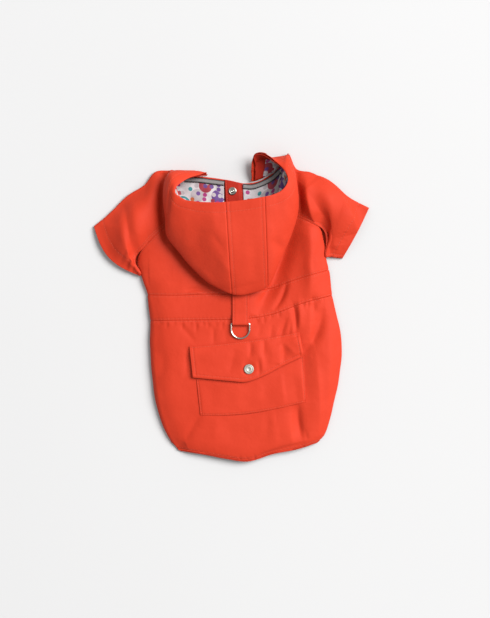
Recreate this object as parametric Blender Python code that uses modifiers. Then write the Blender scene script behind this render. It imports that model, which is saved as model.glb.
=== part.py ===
"""A hooded raincoat for a small dog, laid flat on a table with its back up and its hood lying on it.

All sizes are in millimetres until a mesh is made. X runs to the right, Y from the tail to the head
and Z up from the table. The origin is under the middle of the coat.
"""

import math
from bisect import bisect_right

import bpy
import numpy as np

MM = 0.001

# Driving dimensions.
CLOTH = 1.5  # outer cloth with its backing
LINING = 0.9
TRIM = 1.2  # strap, pocket and flap
SEAM = 0.3  # gap between pieces that are sewn together
RAGLAN_SEAM = 0.75  # the same where two slopes meet
HOOD_SEAM = 0.9
LINING_GAP = 1.35  # between the hood and its lining, round its folds
SNAP_SEAT = 0.65
FOLD = 3.4  # radius of the cloth's fold at a side
FOLD_MIDDLE = 4.2  # height of that fold's outermost line
BELLY_EDGE, BACK_EDGE = 3.55, 4.4  # heights of the edges at the side seam
FLAT = CLOTH / 2  # middle of a wall that lies on the table
FRONT_SHORTER = 9.0  # the belly ends this far above the back's hem
HEM_BAND_DROP = 0.5

OVERLAP_LEFT, OVERLAP_RIGHT = -8.0, 8.0  # centre front overlap at the neck
OVERLAP_DRIFT = 19.0  # how far it has moved right at the hem
STEP_RUN = 4.0  # the upper front comes down to the table over this
PLACKET_RIGHT = 13.5
PLACKET_LENGTH = 42.0
LINING_END = 108.0  # the throat lining ends at this Y, under the yoke
TAPE_WIDTH = 6.5

STRAP_MIDDLE_X, STRAP_WIDTH, STRAP_TOP_Y = 11.5, 20.0, 16.8
RING_WIRE, RING_INSIDE, RING_LENGTH = 2.2, 20.8, 18.5
RING_Y = -20.5
RING_CORNER = 1.5
RING_TILT = math.radians(4.0)

SNAP_RADIUS, SNAP_HEIGHT, SNAP_PLACE = 6.2, 1.9, (22.0, -77.0)
STUD_RADIUS, STUD_HEIGHT, STUD_PLACE = 5.0, 2.6, (1.5, 144.5)

# Each row crosses the back from left to right: where it is on the middle line (down), its two ends,
# its Y at seven even stations, then the heights of its ends and crown and how far its ends fold over.
# Columns: down left right y1 y2 y3 y4 y5 y6 y7 end_z crown_z fold.
BACK_ROWS = {
    "neck": (-119, -60.5, 57, 122.5, 120.5, 119.5, 119, 120, 123, 129, 13, 13.2, 0),
    "raglan_upper": (-98, -81.5, 74.5, 101, 99, 97.5, 98, 101, 107.5, 116, 12.8, 13.4, 0),
    "raglan_lower": (-86, -101.5, 93.5, 82, 82.5, 84, 86, 90, 97.5, 107.5, 11, 13.6, 0),
    "arm": (-72.5, -116.5, 112, 64, 66, 69, 72.5, 79, 87.5, 97.5, 7, 13.8, 0.4),
    "underarm": (-45, -112, 117, 41, 42, 42.5, 45, 49, 56, 62.5, BACK_EDGE, 14, 1),
    "waist_top": (-17, -104, 120.5, 15, 14.5, 16, 17, 22.5, 35, 46, BACK_EDGE, 14.2, 1),
    "waist_low": (15, -97.5, 125.5, -17, -16.5, -16, -15, -9, 4.5, 14.5, BACK_EDGE, 14.6, 1),
    "flap": (46, -97, 136, -47.5, -47.5, -47.5, -46, -44, -39, -35, BACK_EDGE, 15, 1),
    "pocket": (92, -95.5, 135.5, -91, -92.5, -92.5, -92, -90, -86, -82.5, BACK_EDGE, 15, 1),
    "low": (137, -88, 126.5, -131, -134, -136, -137, -135, -130, -125, BACK_EDGE, 13.8, 1),
    "turn": (170, -78.5, 118.5, -161, -165, -168, -170, -167.5, -160, -154, BACK_EDGE, 12.2, 1),
    "hem_seam": (189, -70.5, 113.5, -176.5, -180, -186, -189, -181, -174.5, -165.5, BACK_EDGE, 11.2, 1),
    "hem": (193.5, -68, 112, -180.2, -183.7, -189.2, -192.6, -183.7, -177.7, -168.7, BACK_EDGE, 11, 1),
}
# The same for the belly, which is flat on the table. Below the underarm it follows the back.
FRONT_ROWS = {
    "neck": (-158, -56.5, 53.5, 164, 163, 161, 158, 154.5, 157.5, 168, FLAT, FLAT, 0),
    "upper": (-131, -71.5, 69.5, 135, 134, 132.5, 131, 131, 135, 142.5, FLAT, FLAT, 0),
    "middle": (-105, -91.5, 89.5, 106, 105, 105, 105, 106, 111, 120, FLAT, FLAT, 0),
    "lower": (-75, -110.5, 108.5, 71, 71, 72.5, 75, 79, 85, 92.5, FLAT, FLAT, 0.4),
}

# Each row is a rib round the sleeve, from the back raglan over the fold at the front to the front
# raglan underneath: how far out it is, where it starts and ends on those seams (down), its fold, the
# top's height at its quarters and its outward bow. Past the underarm it starts and ends on the
# sleeve's own seam, which runs to the cuff.
# Columns: reach back_down front_down fold_x fold_y z1 z2 z3 bow.
LEFT_SLEEVE = {
    "neck": (0, -119, -158, -78, 170, 13.3, 12.8, 11, 0),
    "upper": (15, -98, -131, -93, 169.5, 14.5, 14.5, 12.5, 0),
    "middle": (38, -86, -105, -108, 152.5, 17, 18.5, 15, 2),
    "ridge": (66, -72.5, -75, -131.5, 137, 20, 22, 17, 4),
    "underarm": (94, -45, -45, -151.5, 117, 15, 17, 14, 9),
    "cuff": (115, -45, -45, -171.5, 101, 11.5, 12.5, 11, 13),
}
RIGHT_SLEEVE = {
    "neck": (0, -119, -158, 72.5, 190.5, 13.3, 12.8, 11, 0),
    "upper": (21, -98, -131, 82, 172, 14.5, 14.5, 12.5, 0),
    "middle": (39, -86, -105, 99.5, 168, 16.5, 17.5, 14.5, 0),
    "ridge": (59, -72.5, -75, 117, 159, 17, 19, 16, 0),
    "underarm": (90, -45, -45, 142, 140, 15, 17.5, 14.5, 0),
    "cuff": (124, -45, -45, 172, 123.5, 12, 13.5, 11.5, 1),
}
CUFF_SEAM = {"left": (-113.5, 38.5), "right": (138.5, 60)}

# Each rib of the hood starts on the neck's edge, turns at its outermost point and ends on the rim.
# On the neck's edge 0 is the left front corner, 1 to 2 the left sleeve, 2 to 3 the yoke, 3 to 4
# the right sleeve and 5 the right front corner. Tuck is how far the rib starts straight up, and
# round how far it bulges between its turn and the rim, from 1 for straight to 2 for a quarter circle.
# Columns: edge turn_x turn_y turn_z rim_x rim_y rim_z tuck round.
HOOD_RIBS = (
    (0.0, -31, 166, 4, -30.5, 167, 8.5, 0, 1.0),
    (0.5, -43, 169, 9, -40, 163.5, 18, 0, 1.3),
    (1.0, -55.5, 169.5, 13, -50.5, 160, 27, 0.2, 1.6),
    (1.25, -69.5, 169, 16, -60.5, 153.5, 35, 0.5, 1.8),
    (1.44, -78, 164.5, 19, -67.5, 146.5, 40, 0.8, 1.9),
    (1.65, -83, 150.5, 21, -68, 139, 42, 1, 1.9),
    (1.85, -84, 132.5, 22, -62.5, 135, 43, 1, 1.9),
    (2.0, -81, 111, 23, -55, 131, 44.5, 1, 1.8),
    (2.1, -79, 89, 23, -45.5, 129.5, 46, 1, 1.6),
    (2.2, -62.5, 67, 23, -36, 128.5, 47, 1, 1.45),
    (2.3, -43.5, 45.5, 23.5, -23, 128, 48, 1, 1.4),
    (2.4, -25, 30, 24, -13.5, 128, 48.7, 1, 1.35),
    (2.5, 1, 17, 24.5, -6.5, 128.5, 49.2, 1, 1.35),
    (2.61, 22.5, 17.5, 24.5, 17.5, 131, 50, 1, 1.35),
    (2.73, 45, 26.5, 24.5, 41.5, 135, 50, 1, 1.35),
    (2.8, 57.5, 54.5, 24, 50, 137, 49.4, 1, 1.4),
    (2.87, 70, 80, 23.5, 54, 138.5, 48.5, 1, 1.45),
    (2.94, 77.5, 100, 23.5, 59.5, 141, 47.5, 1, 1.6),
    (3.0, 81.5, 116.5, 23, 64, 144.5, 46, 1, 1.8),
    (3.2, 82.5, 132.5, 23, 67.5, 149, 44, 1, 1.9),
    (3.38, 81.5, 148.5, 22, 70, 155, 41.5, 1, 1.8),
    (3.46, 79, 163.5, 19, 69.5, 160.5, 39, 0.8, 1.6),
    (3.52, 75, 178, 14.5, 68, 164, 37, 0.6, 1.5),
    (3.6, 70.5, 188, 10, 65.5, 168.5, 34.5, 0.4, 1.4),
    (3.75, 65.5, 187.5, 10, 62, 173, 32, 0.2, 1.3),
    (4.0, 57.5, 186.5, 10, 56.5, 178.5, 29, 0, 1.2),
    (4.3, 49.5, 185.5, 10, 49, 185, 26, 0, 1.1),
    (4.6, 41, 186, 9.5, 41, 190, 23, 0, 1.1),
    (4.8, 33, 184, 9, 33.5, 191, 20, 0, 1.1),
    (4.9, 29, 177.5, 8, 28, 188, 16.5, 0, 1.1),
    (4.96, 27, 162, 5, 26.5, 177, 12, 0, 1.0),
    (5.0, 27, 157, 3.5, 27, 161.5, 7, 0, 1.0),
)
# The ribs at which the three panels start and end, and how many stations each has.
HOOD_PANELS = {"hood_left": (0, 12, 17), "hood_centre": (12, 14, 5), "hood_right": (14, 31, 25)}
# The underside of the hood: along it, how far out it has gone and how high, from neck to turn.
TUCK_PROFILE = ((0, 0, 0), (0.2, 0, 0.28), (0.4, 0.06, 0.44), (0.7, 0.5, 0.5), (0.9, 0.9, 0.62), (1, 1, 1))
FACING_WIDTH = 13.0  # of the rim's facing inside, where the ribs are long enough
FACING_MOST = 0.4  # of a rib's length
LINING_FOOT = 4.5  # the lining starts this far up from the neck's edge
LINING_FIRST_RIB, LINING_LAST_RIB = 4.2, 20.5  # past them the hood is too narrow for a lining
FACING_LAST_RIB = 29.2
LINING_SHORT_CUT = 0.06  # of a rib: how near the hood's turn the lining stays out of the fold
FACING_GAP = 1.6
SLIVER = 0.004  # of a rib, between the lining's rows where they close up

# Sheets that lie on the back: for each station from left to right, the upper and lower ends.
# Columns: top_x top_y low_x low_y.
POCKET = (
    (-46, -60, -38, -134.5),
    (-12, -57.5, -4, -134.3),
    (22, -54, 29.5, -131),
    (56, -49.5, 62, -125),
    (88.5, -44.5, 93, -118),
)
POCKET_FLAP = (
    (-51.5, -49, -47, -87.5),
    (-29, -47.5, -24, -89.7),
    (-6, -45.3, 0, -91.9),
    (17, -42.5, 19, -92.6),
    (40, -39.3, 41, -85),
    (62, -35.5, 64, -73),
    (84.5, -31, 89.5, -61),
)
# How far the flap's middle stands above the back's, from its sewn edge to its free one.
FLAP_LIFT = ((0, 1.65), (0.22, 3.3), (0.6, 3.7), (1, 4.8))
THROAT_LINING_LEFT = (
    (-72, 164.5, -72, LINING_END),
    (-56.5, 161.5, -56.5, LINING_END),
    (-33, 160, -33, LINING_END),
    (-9, 157.6, -9, LINING_END),
)
THROAT_LINING_RIGHT = (
    (14.2, 153.6, 16.8, LINING_END),
    (28, 153.2, 29, LINING_END),
    (41, 158, 41, LINING_END),
    (54, 166.5, 54, LINING_END),
    (66, 180, 66, LINING_END),
)
# The middle line of each tape, x and y, from the placket outwards.
NECK_TAPE_LEFT = ((-9, 154.5), (-25, 156.5), (-42, 158.5), (-58, 159))
NECK_TAPE_RIGHT = ((14.8, 150.6), (27, 150.2), (40, 154.6), (51.5, 161), (60.5, 169.5))

RED = (0.80, 0.065, 0.025)
DARK_RED = (0.45, 0.02, 0.012)
PALE = (0.72, 0.66, 0.66)
GREY = (0.35, 0.33, 0.33)
STEEL = (0.75, 0.74, 0.72)


def smooth(knots, rows, at):
    """The rows' values at a place between them, on a smooth curve through all of them."""
    i = min(max(bisect_right(knots, at) - 1, 0), len(knots) - 2)
    step = knots[i + 1] - knots[i]

    def slope(j):
        """The curve's slope at knot j, from the two spans that meet there."""
        spans = [k for k in (j - 1, j) if 0 <= k < len(knots) - 1]
        slopes = [(rows[k + 1] - rows[k]) / (knots[k + 1] - knots[k]) for k in spans]
        if len(spans) == 1:
            return slopes[0]
        before, after = knots[j] - knots[j - 1], knots[j + 1] - knots[j]
        return (slopes[0] * after + slopes[1] * before) / (before + after)

    f = (at - knots[i]) / step
    start, end = rows[i], rows[i + 1]
    leave, arrive = slope(i) * step, slope(i + 1) * step
    return (
        start * (1 - f) ** 2 * (1 + 2 * f)
        + leave * f * (1 - f) ** 2
        + end * f**2 * (3 - 2 * f)
        - arrive * f**2 * (1 - f)
    )


def table(rows, knots=None):
    """The knots and values of a table whose first column is the knot, or that has even knots."""
    values = np.array(list(rows.values()) if isinstance(rows, dict) else rows, float)
    if knots is None:
        return list(values[:, 0]), values[:, 1:]
    return knots, values


def even(count):
    return list(np.linspace(0, 1, count))


BACK = table(BACK_ROWS)
FRONT = table(FRONT_ROWS | {k: v for k, v in BACK_ROWS.items() if v[0] >= BACK_ROWS["underarm"][0]})
SLEEVES = {"left": table(LEFT_SLEEVE), "right": table(RIGHT_SLEEVE)}
HOOD = table(HOOD_RIBS, list(range(len(HOOD_RIBS))))
NECK_DOWN = BACK_ROWS["neck"][0]
FRONT_NECK_DOWN = FRONT_ROWS["neck"][0]
SEAM_TOP = BACK_ROWS["waist_top"][0]
SEAM_LOW = BACK_ROWS["waist_low"][0]
SEAM_HEM = BACK_ROWS["hem_seam"][0]
HEM = BACK_ROWS["hem"][0]

FOLD_SHARE = 0.06  # of u from 0 to 1, the part that runs round a side fold
STATIONS = list(np.linspace(-1, 1, 7))
CROWN_POWER = 2.4


def edge_inset(fold):
    """How far the middle of a wall stays inside the line of its seam: the steeper, the farther."""
    return RAGLAN_SEAM / 2 + CLOTH / 2 * fold**0.2


def body_row(rows, down):
    """A row's ends, its seven Ys, the heights of its ends and crown, and its fold from 0 to 1."""
    left, right, *ys, end_z, crown_z, fold = smooth(*rows, down)
    lowest = BACK_EDGE if rows is BACK else FLAT
    return left, right, np.array(ys), max(end_z, lowest), crown_z, min(max(fold, 0.0), 1.0)


def across(u, left, right, fold):
    """X, the share of the fold's height reached there, and where X is between the two ends."""
    middle, half = (left + right) / 2, (right - left) / 2 - edge_inset(fold)
    reach = abs(u)
    if reach > 1 - FOLD_SHARE:
        angle = (1 - reach) / FOLD_SHARE * math.pi / 2
        inset, lift = FOLD * (1 - math.cos(angle)), math.sin(angle)
    else:
        inset, lift = FOLD + (half - FOLD) * (1 - reach / (1 - FOLD_SHARE)), 1.0
    x = middle + math.copysign(half - inset, u)
    return x, lift, (x - middle) / ((right - left) / 2)


def back_point(u, down):
    """A point in the middle of the back's wall: u from -1 at the left end to 1 at the right."""
    left, right, ys, end_z, crown_z, fold = body_row(BACK, down)
    x, lift, place = across(u, left, right, fold)
    y = smooth(STATIONS, ys, place)
    end_z += FOLD * fold * lift
    z = end_z + (crown_z - end_z) * (1 - abs(place) ** CROWN_POWER) * lift
    return np.array([x, y, z])


def front_point(u, down):
    """The same for the belly, whose side folds come up from the table to the side seam."""
    left, right, ys, _, _, fold = body_row(FRONT, down)
    x, lift, place = across(u, left, right, fold)
    y = smooth(STATIONS, ys, place)
    return np.array([x, y, FLAT + (BELLY_EDGE - FLAT) * fold * (1 - lift)])


def row_u(rows, x, down):
    """The u at which a row reaches x, away from its folds."""
    left, right, _, _, _, fold = body_row(rows, down)
    half = (right - left) / 2 - edge_inset(fold)
    return (x - (left + right) / 2) / (half - FOLD) * (1 - FOLD_SHARE)


def back_at(x, y):
    """The back's wall at a place seen from above, and its normal."""
    low, high = BACK[0][0], BACK[0][-1]
    for _ in range(30):
        down = (low + high) / 2
        u = row_u(BACK, x, down)
        point = back_point(u, down)
        low, high = (down, high) if point[1] > y else (low, down)
    nudge = 0.002
    normal = np.cross(back_point(u + nudge, down) - point, point - back_point(u, down + 1))
    return point, normal / np.linalg.norm(normal)


# Round a sleeve: its seam's fold, its top, over the fold, under the fold, its underside, its seam's fold.
SLEEVE_ZONES = (0, 0.06, 0.5, 0.56, 0.62, 0.94, 1)
UNDERARM = BACK_ROWS["underarm"][0]


def sleeve_seam(side, rows, down, past, rib_end):
    """Where a sleeve's rib starts beside the body: its place, height and fold."""

    def edge(at):
        left, right, ys, end_z, _, fold = body_row(rows, at)
        return np.array([left, ys[0]] if side == "left" else [right, ys[-1]]), end_z, fold

    (place, z, fold), behind = edge(down), edge(down - 1)[0]
    run = place - behind
    away = np.array([run[1], -run[0]] if side == "left" else [-run[1], run[0]]) / np.linalg.norm(run)
    place = place + (np.array(CUFF_SEAM[side]) - place) * past
    rib = (rib_end - place) / np.linalg.norm(rib_end - place)
    turned_to = min(past * 3, 1)
    away = away * (1 - turned_to) + rib * turned_to
    return place + away / np.linalg.norm(away) * edge_inset(fold), z, fold


def sleeve_point(side, around, reach):
    """A point in the middle of a sleeve's wall: around from 0 at the back seam to 1 underneath."""
    knots, values = SLEEVES[side]
    back_down, front_down, fold_x, fold_y, z1, z2, z3, bow = smooth(knots, values, reach)
    past = max((reach - knots[-2]) / (knots[-1] - knots[-2]), 0)
    zone = min(bisect_right(SLEEVE_ZONES, around) - 1, 5)
    f = (around - SLEEVE_ZONES[zone]) / (SLEEVE_ZONES[zone + 1] - SLEEVE_ZONES[zone])
    fold = np.array([fold_x, fold_y])
    rows, down = (BACK, back_down) if zone < 3 else (FRONT, front_down)
    seam, seam_z, rear = sleeve_seam(side, rows, min(down, UNDERARM), past, fold)
    length = np.linalg.norm(fold - seam)
    line = (fold - seam) / length
    run = length - CLOTH / 2
    turn = f * math.pi / 2
    if zone == 0:
        along, z = FOLD * (1 - math.cos(turn)), seam_z + FOLD * rear * math.sin(turn)
    elif zone == 1:
        along = FOLD + (run - 2 * FOLD) * f
        z = smooth(even(5), np.array([seam_z + FOLD * rear, z1, z2, z3, FOLD_MIDDLE + FOLD]), f)
    elif zone == 2:
        along, z = run - FOLD * (1 - math.sin(turn)), FOLD_MIDDLE + FOLD * math.cos(turn)
    elif zone == 3:
        along = run - FOLD * (1 - math.cos(turn))
        z = FOLD_MIDDLE - (FOLD_MIDDLE - FLAT) * math.sin(turn)
    elif zone == 4:
        along, z = run - FOLD - (run - 2 * FOLD) * f, FLAT
    else:
        along = FOLD * (1 - math.sin(turn))
        z = FLAT + (BELLY_EDGE - FLAT) * rear * (1 - math.cos(turn))
    outward = np.array([-line[1], line[0]]) * (1 if side == "left" else -1)
    place = seam + line * along + outward * bow * math.sin(math.pi * along / length)
    return np.array([place[0], place[1], z])


CORNER_LEFT_U = row_u(FRONT, -30.5, FRONT_NECK_DOWN)
CORNER_RIGHT_U = row_u(FRONT, 27.0, FRONT_NECK_DOWN)


def neck_piece(edge, inside):
    """A point on a row of the body or a sleeve that is this far inside the neck's edge."""
    if edge <= 1:
        return front_point(CORNER_LEFT_U + (-1 - CORNER_LEFT_U) * edge, FRONT_NECK_DOWN + inside)
    if edge <= 2:
        return sleeve_point("left", 2 - edge, inside)
    if edge <= 3:
        return back_point(-1 + 2 * (edge - 2), NECK_DOWN + inside)
    if edge <= 4:
        return sleeve_point("right", edge - 3, inside)
    return front_point(1 + (CORNER_RIGHT_U - 1) * (edge - 4), FRONT_NECK_DOWN + inside)


def neck_edge(edge):
    """A point on the neck's edge, counted as in the hood's table, and the way straight out from it."""
    here = neck_piece(edge, 0)
    beyond = here - neck_piece(edge, 1)
    piece = min(int(edge), 4)
    before, after = (neck_piece(min(max(e, piece), piece + 1), 0) for e in (edge - 0.01, edge + 0.01))
    run = (after - before) / np.linalg.norm(after - before)
    beyond -= run * beyond.dot(run)
    return here, beyond / np.linalg.norm(beyond)


UNDERSIDE_SHARE = 0.45  # of a rib, from the neck to its turn
TUCK = table(TUCK_PROFILE)


def hood_point(rib, along):
    """A point in the middle of the hood's wall: along from 0 at the neck to 1 at the rim."""
    row = smooth(*HOOD, rib)
    edge, turn, rim, tuck, roundness = row[0], row[1:4], row[4:7], row[7], row[8]
    start, beyond = neck_edge(min(max(edge, 0), 5))
    start = start + beyond * (HOOD_SEAM + CLOTH / 2)
    if along < UNDERSIDE_SHARE:
        f = along / UNDERSIDE_SHARE
        out, up = smooth(*TUCK, f) * tuck + f * (1 - tuck)
        flat = start[:2] + (turn[:2] - start[:2]) * out
        return np.array([*flat, start[2] + (turn[2] - start[2]) * up])
    angle = (along - UNDERSIDE_SHARE) / (1 - UNDERSIDE_SHARE) * math.pi / 2
    out = 1 - max(math.cos(angle), 0) ** (2 / roundness)
    up = math.sin(angle) ** (2 / roundness)
    flat = turn[:2] + (rim[:2] - turn[:2]) * out
    return np.array([*flat, turn[2] + (rim[2] - turn[2]) * up])


def grid(point, us, vs):
    """A grid of points, one row for each of the vs."""
    return np.array([[point(u, v) for u in us] for v in vs])


MOST_MITRE = 3.0


def normals_of(points):
    """The grid's unit normals, and how much farther an offset goes in each place to keep its gap."""

    def directions(axis):
        steps = np.diff(points, axis=axis)
        steps /= np.linalg.norm(steps, axis=2, keepdims=True)
        first, last = np.take(steps, [0], axis), np.take(steps, [-1], axis)
        both = np.concatenate([first, steps], axis) + np.concatenate([steps, last], axis)
        return both, 2 / np.linalg.norm(both, axis=2, keepdims=True)

    (along_columns, bend_columns), (along_rows, bend_rows) = directions(1), directions(0)
    normals = np.cross(along_columns, along_rows)
    normals /= np.linalg.norm(normals, axis=2, keepdims=True)
    return normals, np.minimum(bend_columns * bend_rows, MOST_MITRE)


def moved_out(points, distance):
    """The grid moved along its own normals."""
    normals, mitre = normals_of(points)
    return points + normals * mitre * distance


def material(name, colour, roughness, metallic=0.0):
    made = bpy.data.materials.get(name)
    if made is None:
        made = bpy.data.materials.new(name)
        made.use_nodes = True
        shader = made.node_tree.nodes["Principled BSDF"]
        shader.inputs["Base Color"].default_value = (*colour, 1)
        shader.inputs["Roughness"].default_value = roughness
        shader.inputs["Metallic"].default_value = metallic
        made.diffuse_color = (*colour, 1)
    return made


def cloth_material():
    return material("coat_cloth", RED, 0.55)


def facing_material():
    return material("facing_cloth", DARK_RED, 0.6)


def lining_material():
    return material("lining_cloth", PALE, 0.75)


def tape_material():
    return material("tape_cloth", GREY, 0.75)


def metal_material():
    return material("snap_and_ring_metal", STEEL, 0.25, 1.0)


def place_object(name, data, finish, location=(0, 0, 0)):
    made = bpy.data.objects.new(name, data)
    made.location = location
    data.materials.append(finish)
    bpy.data.collections["pet_coat"].objects.link(made)
    return made


def cloth_piece(name, points, thickness, finish):
    """A wall of even thickness round a grid of points, which is its middle."""
    rows, columns, _ = points.shape
    corner = [(r * columns + c) for r in range(rows - 1) for c in range(columns - 1)]
    faces = [(i, i + 1, i + columns + 1, i + columns) for i in corner]
    mesh = bpy.data.meshes.new(name)
    mesh.from_pydata((points.reshape(-1, 3) * MM).tolist(), [], faces)
    mesh.shade_smooth()
    made = place_object(name, mesh, finish)
    wall = made.modifiers.new("wall", "SOLIDIFY")
    wall.thickness = thickness * MM
    wall.offset = 0
    return made


FOLD_STEPS = 3


def u_steps(inner, start=-1.0, end=1.0):
    """Stations across a row: close together round the folds, even between them."""
    fold = [FOLD_SHARE * i / FOLD_STEPS for i in range(FOLD_STEPS)]
    left = [-1 + f for f in fold]
    between = list(np.linspace(-1 + FOLD_SHARE, 1 - FOLD_SHARE, inner + 1))
    every = left + between + [-u for u in reversed(left)]
    inside = [u for u in every if start + 0.02 < u < end - 0.02]
    return [start] + inside + [end]


def make_back():
    """Yoke, waistband, skirt and hem band: the back's wall, cut along its seams."""
    half = SEAM / 2
    stretches = {
        "back_yoke": (NECK_DOWN, SEAM_TOP - half, 12),
        "back_waistband": (SEAM_TOP + half, SEAM_LOW - half, 4),
        "back_skirt": (SEAM_LOW + half, SEAM_HEM - SEAM, 14),
    }
    for name, (start, end, steps) in stretches.items():
        points = grid(back_point, u_steps(12), np.linspace(start, end, steps + 1))
        cloth_piece(name, points, CLOTH, cloth_material())
    band = grid(back_point, u_steps(12), np.linspace(SEAM_HEM + SEAM, HEM, 3))
    dropped = np.sin(np.linspace(0, math.pi, band.shape[1])) * HEM_BAND_DROP
    band[:, :, 2] -= dropped
    cloth_piece("back_hem_band", band, CLOTH, cloth_material())


def overlap_x(x_at_neck, down):
    """The overlap drifts to the right on its way down the belly."""
    return x_at_neck + OVERLAP_DRIFT * (down - FRONT_NECK_DOWN) / (HEM - FRONT_NECK_DOWN)


def upper_front_point(x, down):
    """The right front lies on the left one where they overlap, then comes down to the table."""
    point = front_point(row_u(FRONT, x, down), down)
    over = overlap_x(OVERLAP_RIGHT, down) + SEAM
    f = min(max((x - over) / STEP_RUN, 0), 1)
    point[2] += (CLOTH + SEAM) * (1 - f * f * (3 - 2 * f))
    return point


def front_rows(steps):
    return np.linspace(FRONT_NECK_DOWN, SEAM_HEM - FRONT_SHORTER, steps + 1)


def make_fronts():
    """The two halves of the belly, which snap together along the middle."""
    left_rows, right_rows = [], []
    for down in front_rows(14):
        edge = row_u(FRONT, overlap_x(OVERLAP_RIGHT, down), down)
        left_rows.append([front_point(u, down) for u in front_half(-1, edge, 5)])
        start, over = overlap_x(OVERLAP_LEFT, down), overlap_x(OVERLAP_RIGHT, down) + SEAM
        middle = [start, (start + over) / 2] + [over + STEP_RUN * f for f in (0, 0.25, 0.5, 0.75, 1)]
        rest = front_half(row_u(FRONT, over + STEP_RUN, down), 1, 5)[1:]
        row = [upper_front_point(x, down) for x in middle] + [front_point(u, down) for u in rest]
        right_rows.append(row)
    cloth_piece("front_left", np.array(left_rows), CLOTH, cloth_material())
    cloth_piece("front_right", np.array(right_rows), CLOTH, cloth_material())


def front_half(start, end, inner):
    """Stations from one side fold to the overlap's edge, in either order."""
    fold = [FOLD_SHARE * i / FOLD_STEPS for i in range(FOLD_STEPS)]
    if start == -1:
        return [-1 + f for f in fold] + list(np.linspace(-1 + FOLD_SHARE, end, inner + 1))
    return list(np.linspace(start, 1 - FOLD_SHARE, inner + 1)) + [1 - f for f in reversed(fold)]


def make_placket():
    """The facing on the right front's edge, with the snap's stud on it."""
    xs = list(np.linspace(OVERLAP_LEFT, OVERLAP_RIGHT + SEAM, 3))
    xs += [OVERLAP_RIGHT + SEAM + STEP_RUN * f for f in (0.25, 0.5, 0.75, 1)] + [PLACKET_RIGHT]
    downs = np.linspace(FRONT_NECK_DOWN + 0.5, FRONT_NECK_DOWN + PLACKET_LENGTH, 6)
    shifts = [overlap_x(0, down) for down in downs]
    points = np.array([[upper_front_point(x + s, d) for x in xs] for s, d in zip(shifts, downs)])
    out = (CLOTH + LINING) / 2 + SEAM
    lifted = moved_out(points, out * math.copysign(1, normals_of(points)[0][..., 2].mean()))
    cloth_piece("placket_facing", lifted, LINING, facing_material())


def flat_sheet(stations, columns, rows, height):
    """A grid between the stations' upper and lower ends, at a height that depends on the place."""
    knots, values = table(stations, even(len(stations)))
    points = []
    for r in even(rows + 1):
        row = []
        for s in even(columns + 1):
            top_x, top_y, low_x, low_y = smooth(knots, values, s)
            x, y = top_x + (low_x - top_x) * r, top_y + (low_y - top_y) * r
            row.append(height(x, y, r))
        points.append(row)
    return np.array(points)


def make_throat_lining():
    """The lining that shows in the neck's opening, flat on the fronts and the sleeves."""
    z = CLOTH + SEAM + LINING / 2

    def on_front(x, y, _):
        return (x, y, z)

    for name, stations in (("left", THROAT_LINING_LEFT), ("right", THROAT_LINING_RIGHT)):
        points = flat_sheet(stations, 8, 2, on_front)
        cloth_piece(f"throat_lining_{name}", points, LINING, lining_material())


def make_neck_tape():
    """The tape that covers the neck's seam inside, on each side of the placket."""
    z = CLOTH + LINING + 2 * SEAM + LINING / 2

    def strip(stations):
        knots, values = table(stations, even(len(stations)))
        centre = [smooth(knots, values, s) for s in even(13)]
        along = np.gradient(np.array(centre), axis=0)
        along /= np.linalg.norm(along, axis=1, keepdims=True)
        aside = np.stack([-along[:, 1], along[:, 0]], axis=1)
        edges = [np.array(centre) + aside * side * TAPE_WIDTH / 2 for side in (-1, 1)]
        return np.array([[(x, y, z) for x, y in edge] for edge in edges])

    cloth_piece("neck_tape_left", strip(NECK_TAPE_LEFT), LINING, tape_material())
    cloth_piece("neck_tape_right", strip(NECK_TAPE_RIGHT), LINING, tape_material())


def make_sleeves():
    arounds = []
    for zone, steps in enumerate((3, 8, 3, 3, 4, 3)):
        arounds += list(np.linspace(SLEEVE_ZONES[zone], SLEEVE_ZONES[zone + 1], steps + 1))[:-1]
    arounds.append(1.0)
    for side, (reaches, _) in SLEEVES.items():
        points = grid(
            lambda around, reach: sleeve_point(side, around, reach),
            arounds,
            np.linspace(reaches[0], reaches[-1], 16),
        )
        cloth_piece(f"sleeve_{side}", points, CLOTH, cloth_material())


# Stations along a rib, closest together at its turn.
ALONGS = (0, 0.09, 0.18, 0.26, 0.34, 0.41, 0.44, 0.45, 0.47, 0.5, 0.55, 0.62, 0.71, 0.81, 0.91, 1)
PANEL_GAP = 0.018  # of a rib, so that neighbours are a seam's gap apart


def rib_lengths(rib):
    """Places along a rib and the length of it passed there."""
    places = even(33)
    points = np.array([hood_point(rib, a) for a in places])
    steps = np.linalg.norm(np.diff(points, axis=0), axis=1)
    return places, np.concatenate([[0], np.cumsum(steps)])


def rib_length(rib):
    return rib_lengths(rib)[1][-1]


def along_at(rib, distance):
    """Where on a rib this length of it has been passed."""
    places, lengths = rib_lengths(rib)
    return float(np.interp(distance, lengths, places))


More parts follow.
